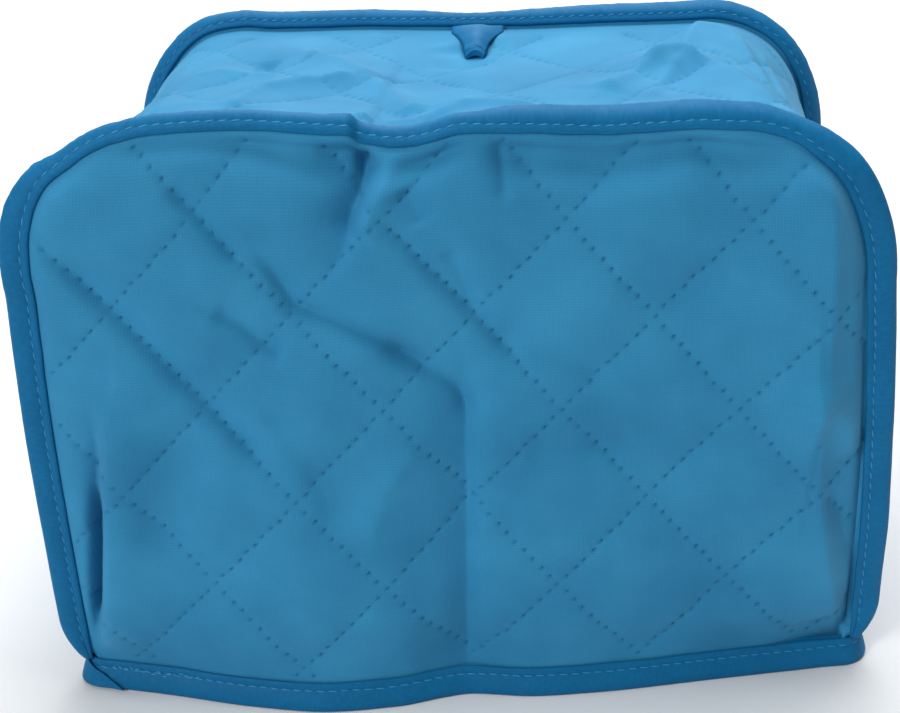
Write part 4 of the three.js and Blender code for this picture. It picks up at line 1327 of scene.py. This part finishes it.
@dataclass
class HangingLoop:
    """A folded tape that leaves the back seam, narrows to its tip and turns back under."""

    # into the cover, above the seam, width, and how far the two sides hang below the middle
    path: tuple[tuple[float, float, float, float], ...] = (
        (0.4, 1.2, 20.2, 0.4),
        (4.0, 2.2, 20.6, 2.6),
        (7.0, 2.6, 18.6, 3.6),
        (11.5, 2.2, 14.6, 3.6),
        (16.5, 1.0, 11.0, 3.2),
        (21.5, -0.6, 8.8, 2.6),
        (24.2, -2.0, 8.0, 2.2),
        (24.2, -3.4, 8.2, 2.0),
        (21.0, -3.8, 9.4, 2.0),
        (16.0, -2.8, 12.0, 2.0),
        (10.0, -1.8, 16.5, 1.6),
        (4.0, -0.8, 19.0, 0.8),
    )
    middle: float = 0.7
    thick: float = 0.55  # pressed thinner than the bindings' tape
    columns: int = 22
    rows: int = 84
    lips: int = 3  # folded layers that show one under the other at the tip

    def build(self, finish: bpy.types.Material) -> bpy.types.Object:
        """Makes the loop and dresses it."""
        strips = [self.strip(lip) for lip in range(self.lips)]
        bpy.ops.object.select_all(action="DESELECT")
        for strip in strips:
            strip.select_set(True)
        bpy.context.view_layer.objects.active = strips[0]
        bpy.ops.object.join()
        return finish_sheet(strips[0], self.thick, finish)

    def strip(self, lip: int) -> bpy.types.Object:
        """Shapes one layer; lip 0 is the whole loop and the others are only its tip."""
        piece, u, v = cloth_grid("hanging_loop_tape", self.columns, self.rows)
        start, end = (0.0, 1.0) if lip == 0 else (0.36, 0.66)
        run = start + v * (end - start)
        steps = np.linspace(0, 1, len(self.path))
        deep, up, wide, hang = (flow(steps, column, run) for column in zip(*self.path))
        side = 2 * u - 1
        rise = BACK_SEAM.read("rise", np.array([0.0]))[0]
        back = BACK_SEAM.read("back", np.array([0.0]))[0]
        crease = 0.3 * rumple(side * 8, run * 60, 7, 41.0 + lip)
        tip = smooth(0.42, 0.55, run) * (1 - smooth(0.6, 0.8, run))
        curve = 0.9 * tip * side**2
        y = DEPTH - back - SEAM_STACK - (deep + lip * 0.85 + curve)
        z = Arch().top + rise + up - hang * side**2 + crease - lip * 0.8
        x = self.middle + side * wide / 2 * (1 - 0.06 * lip) + 1.2 * run * (1 - run)
        settle_mesh(piece, np.column_stack((x, y, z)))
        give_uv(piece, "cloth", side * 11.5 / UV_SPAN, run * 60 / UV_SPAN)
        return piece


@dataclass(frozen=True)
class Studio:
    """A pale floor under a large soft light, and the camera at the photograph's angle."""

    elevation: float = 23.8
    roll: float = -1.0
    distance: float = 461.8
    aim: tuple[float, float, float] = (-1.4, 0.0, 124.0)
    lens: float = 57.6
    paper: str = "#dadcdd"
    room_light: float = 0.26

    def build(self) -> None:
        """Makes the floor, the lights and the camera."""
        self.floor()
        self.lights()
        self.camera()

    def floor(self) -> None:
        """Lays the paper that the cover stands on."""
        bpy.ops.object.select_all(action="DESELECT")
        bpy.ops.mesh.primitive_plane_add(size=8.0)
        paper = bpy.context.object
        paper.name = "floor"
        shader = Shader("matt_paper")
        shader.set({"Base Color": linear(self.paper), "Roughness": 0.9})
        paper.data.materials.append(shader.material)

    def lights(self) -> None:
        """Hangs the soft boxes and lights the room."""
        boxes = (
            ("overhead", (0.15, 0.4, 1.8), 1.4, 41.0),
            ("side_fill", (-2.0, -2.3, 2.0), 1.0, 71.0),
            ("backdrop", (0.0, 2.6, 1.5), 2.0, 40.0),
        )
        for name, place, size, power in boxes:
            light = bpy.data.lights.new(name, "AREA")
            light.shape = "SQUARE"
            light.size = size
            light.energy = power
            lamp = bpy.data.objects.new(name, light)
            lamp.location = place
            aim = Vector((0, place[1] if name == "backdrop" else 0, 0.1)) - Vector(place)
            lamp.rotation_euler = aim.to_track_quat("-Z", "Y").to_euler()
            bpy.context.collection.objects.link(lamp)
        world = bpy.data.worlds.new("room")
        bpy.context.scene.world = world
        world.use_nodes = True
        sky = world.node_tree.nodes["Background"]
        sky.inputs["Color"].default_value = (1, 1, 1, 1)
        sky.inputs["Strength"].default_value = self.room_light

    def camera(self) -> None:
        """Sets the camera up at the photograph's angle."""
        lens = bpy.data.cameras.new("camera")
        lens.lens = self.lens
        lens.sensor_width = 36.0
        camera = bpy.data.objects.new("camera", lens)
        tilt = math.radians(self.elevation)
        away = Vector((0, -math.cos(tilt), math.sin(tilt))) * self.distance
        middle = Vector((*STANCE.middle, 0))
        place = (Vector(self.aim) + away - middle) * MM
        look_down = Matrix.Rotation(math.pi / 2 - tilt, 4, "X")
        roll = Matrix.Rotation(math.radians(self.roll), 4, "Z")
        camera.matrix_world = Matrix.Translation(place) @ look_down @ roll
        bpy.context.collection.objects.link(camera)
        bpy.context.scene.camera = camera


def fasten(piece: bpy.types.Object, slot: str, *nodes: str) -> None:
    """Ties a finished piece to the frame, in place of the plain solids it stands for."""
    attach(piece, "root")
    if nodes:
        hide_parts(*nodes)
    LOG.info("%s: %d faces", piece.name, len(piece.data.polygons))


def main() -> None:
    """Builds the cover piece by piece, then its studio, and ties them to the frame."""
    logging.basicConfig(level=logging.INFO, format="%(message)s")
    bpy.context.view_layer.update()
    Studio().build()
    bpy.context.scene.view_settings.view_transform = "Standard"
    cloth, tape, thread = BrushedPolyester().build(), BiasTape().build(), SewingThread().build()

    panels = (
        Panel("front_panel", FRONT_SEAM, FRONT_QUILT, FRONT_HEM, FRONT_CREASES, belly=4.5, seed=1.0),
        Panel("back_panel", BACK_SEAM, BACK_QUILT, BACK_HEM, BACK_CREASES, belly=5.0, seed=4.0),
    )
    for panel in panels:
        piece = panel.build(cloth)
        fasten(piece, "quilted_cloth", panel.name)
    strip = Gusset(GUSSET_QUILT, GUSSET_CREASES).build(cloth)
    fasten(strip, "quilted_cloth", "gusset")

    for name, seam, seed in (("front_binding", FRONT_SEAM, 11.0), ("back_binding", BACK_SEAM, 15.0)):
        piece = SeamBinding(name, seam, seed).build(tape)
        fasten(piece, "binding_tape", name)
        for face, through in (("outer", 0.3), ("inner", SEAM_STACK - 0.3)):
            fasten(stitch_seam(f"{name}_{face}_stitches", seam, through, thread), "binding_tape")
    hem = HemBinding()
    piece = hem.build(tape)
    fasten(piece, "binding_tape", "hem_binding")
    fasten(hem.stitches(thread), "binding_tape")
    piece = HangingLoop().build(tape)
    fasten(piece, "binding_tape", "hanging_loop")


if __name__ == "__main__":
    main()
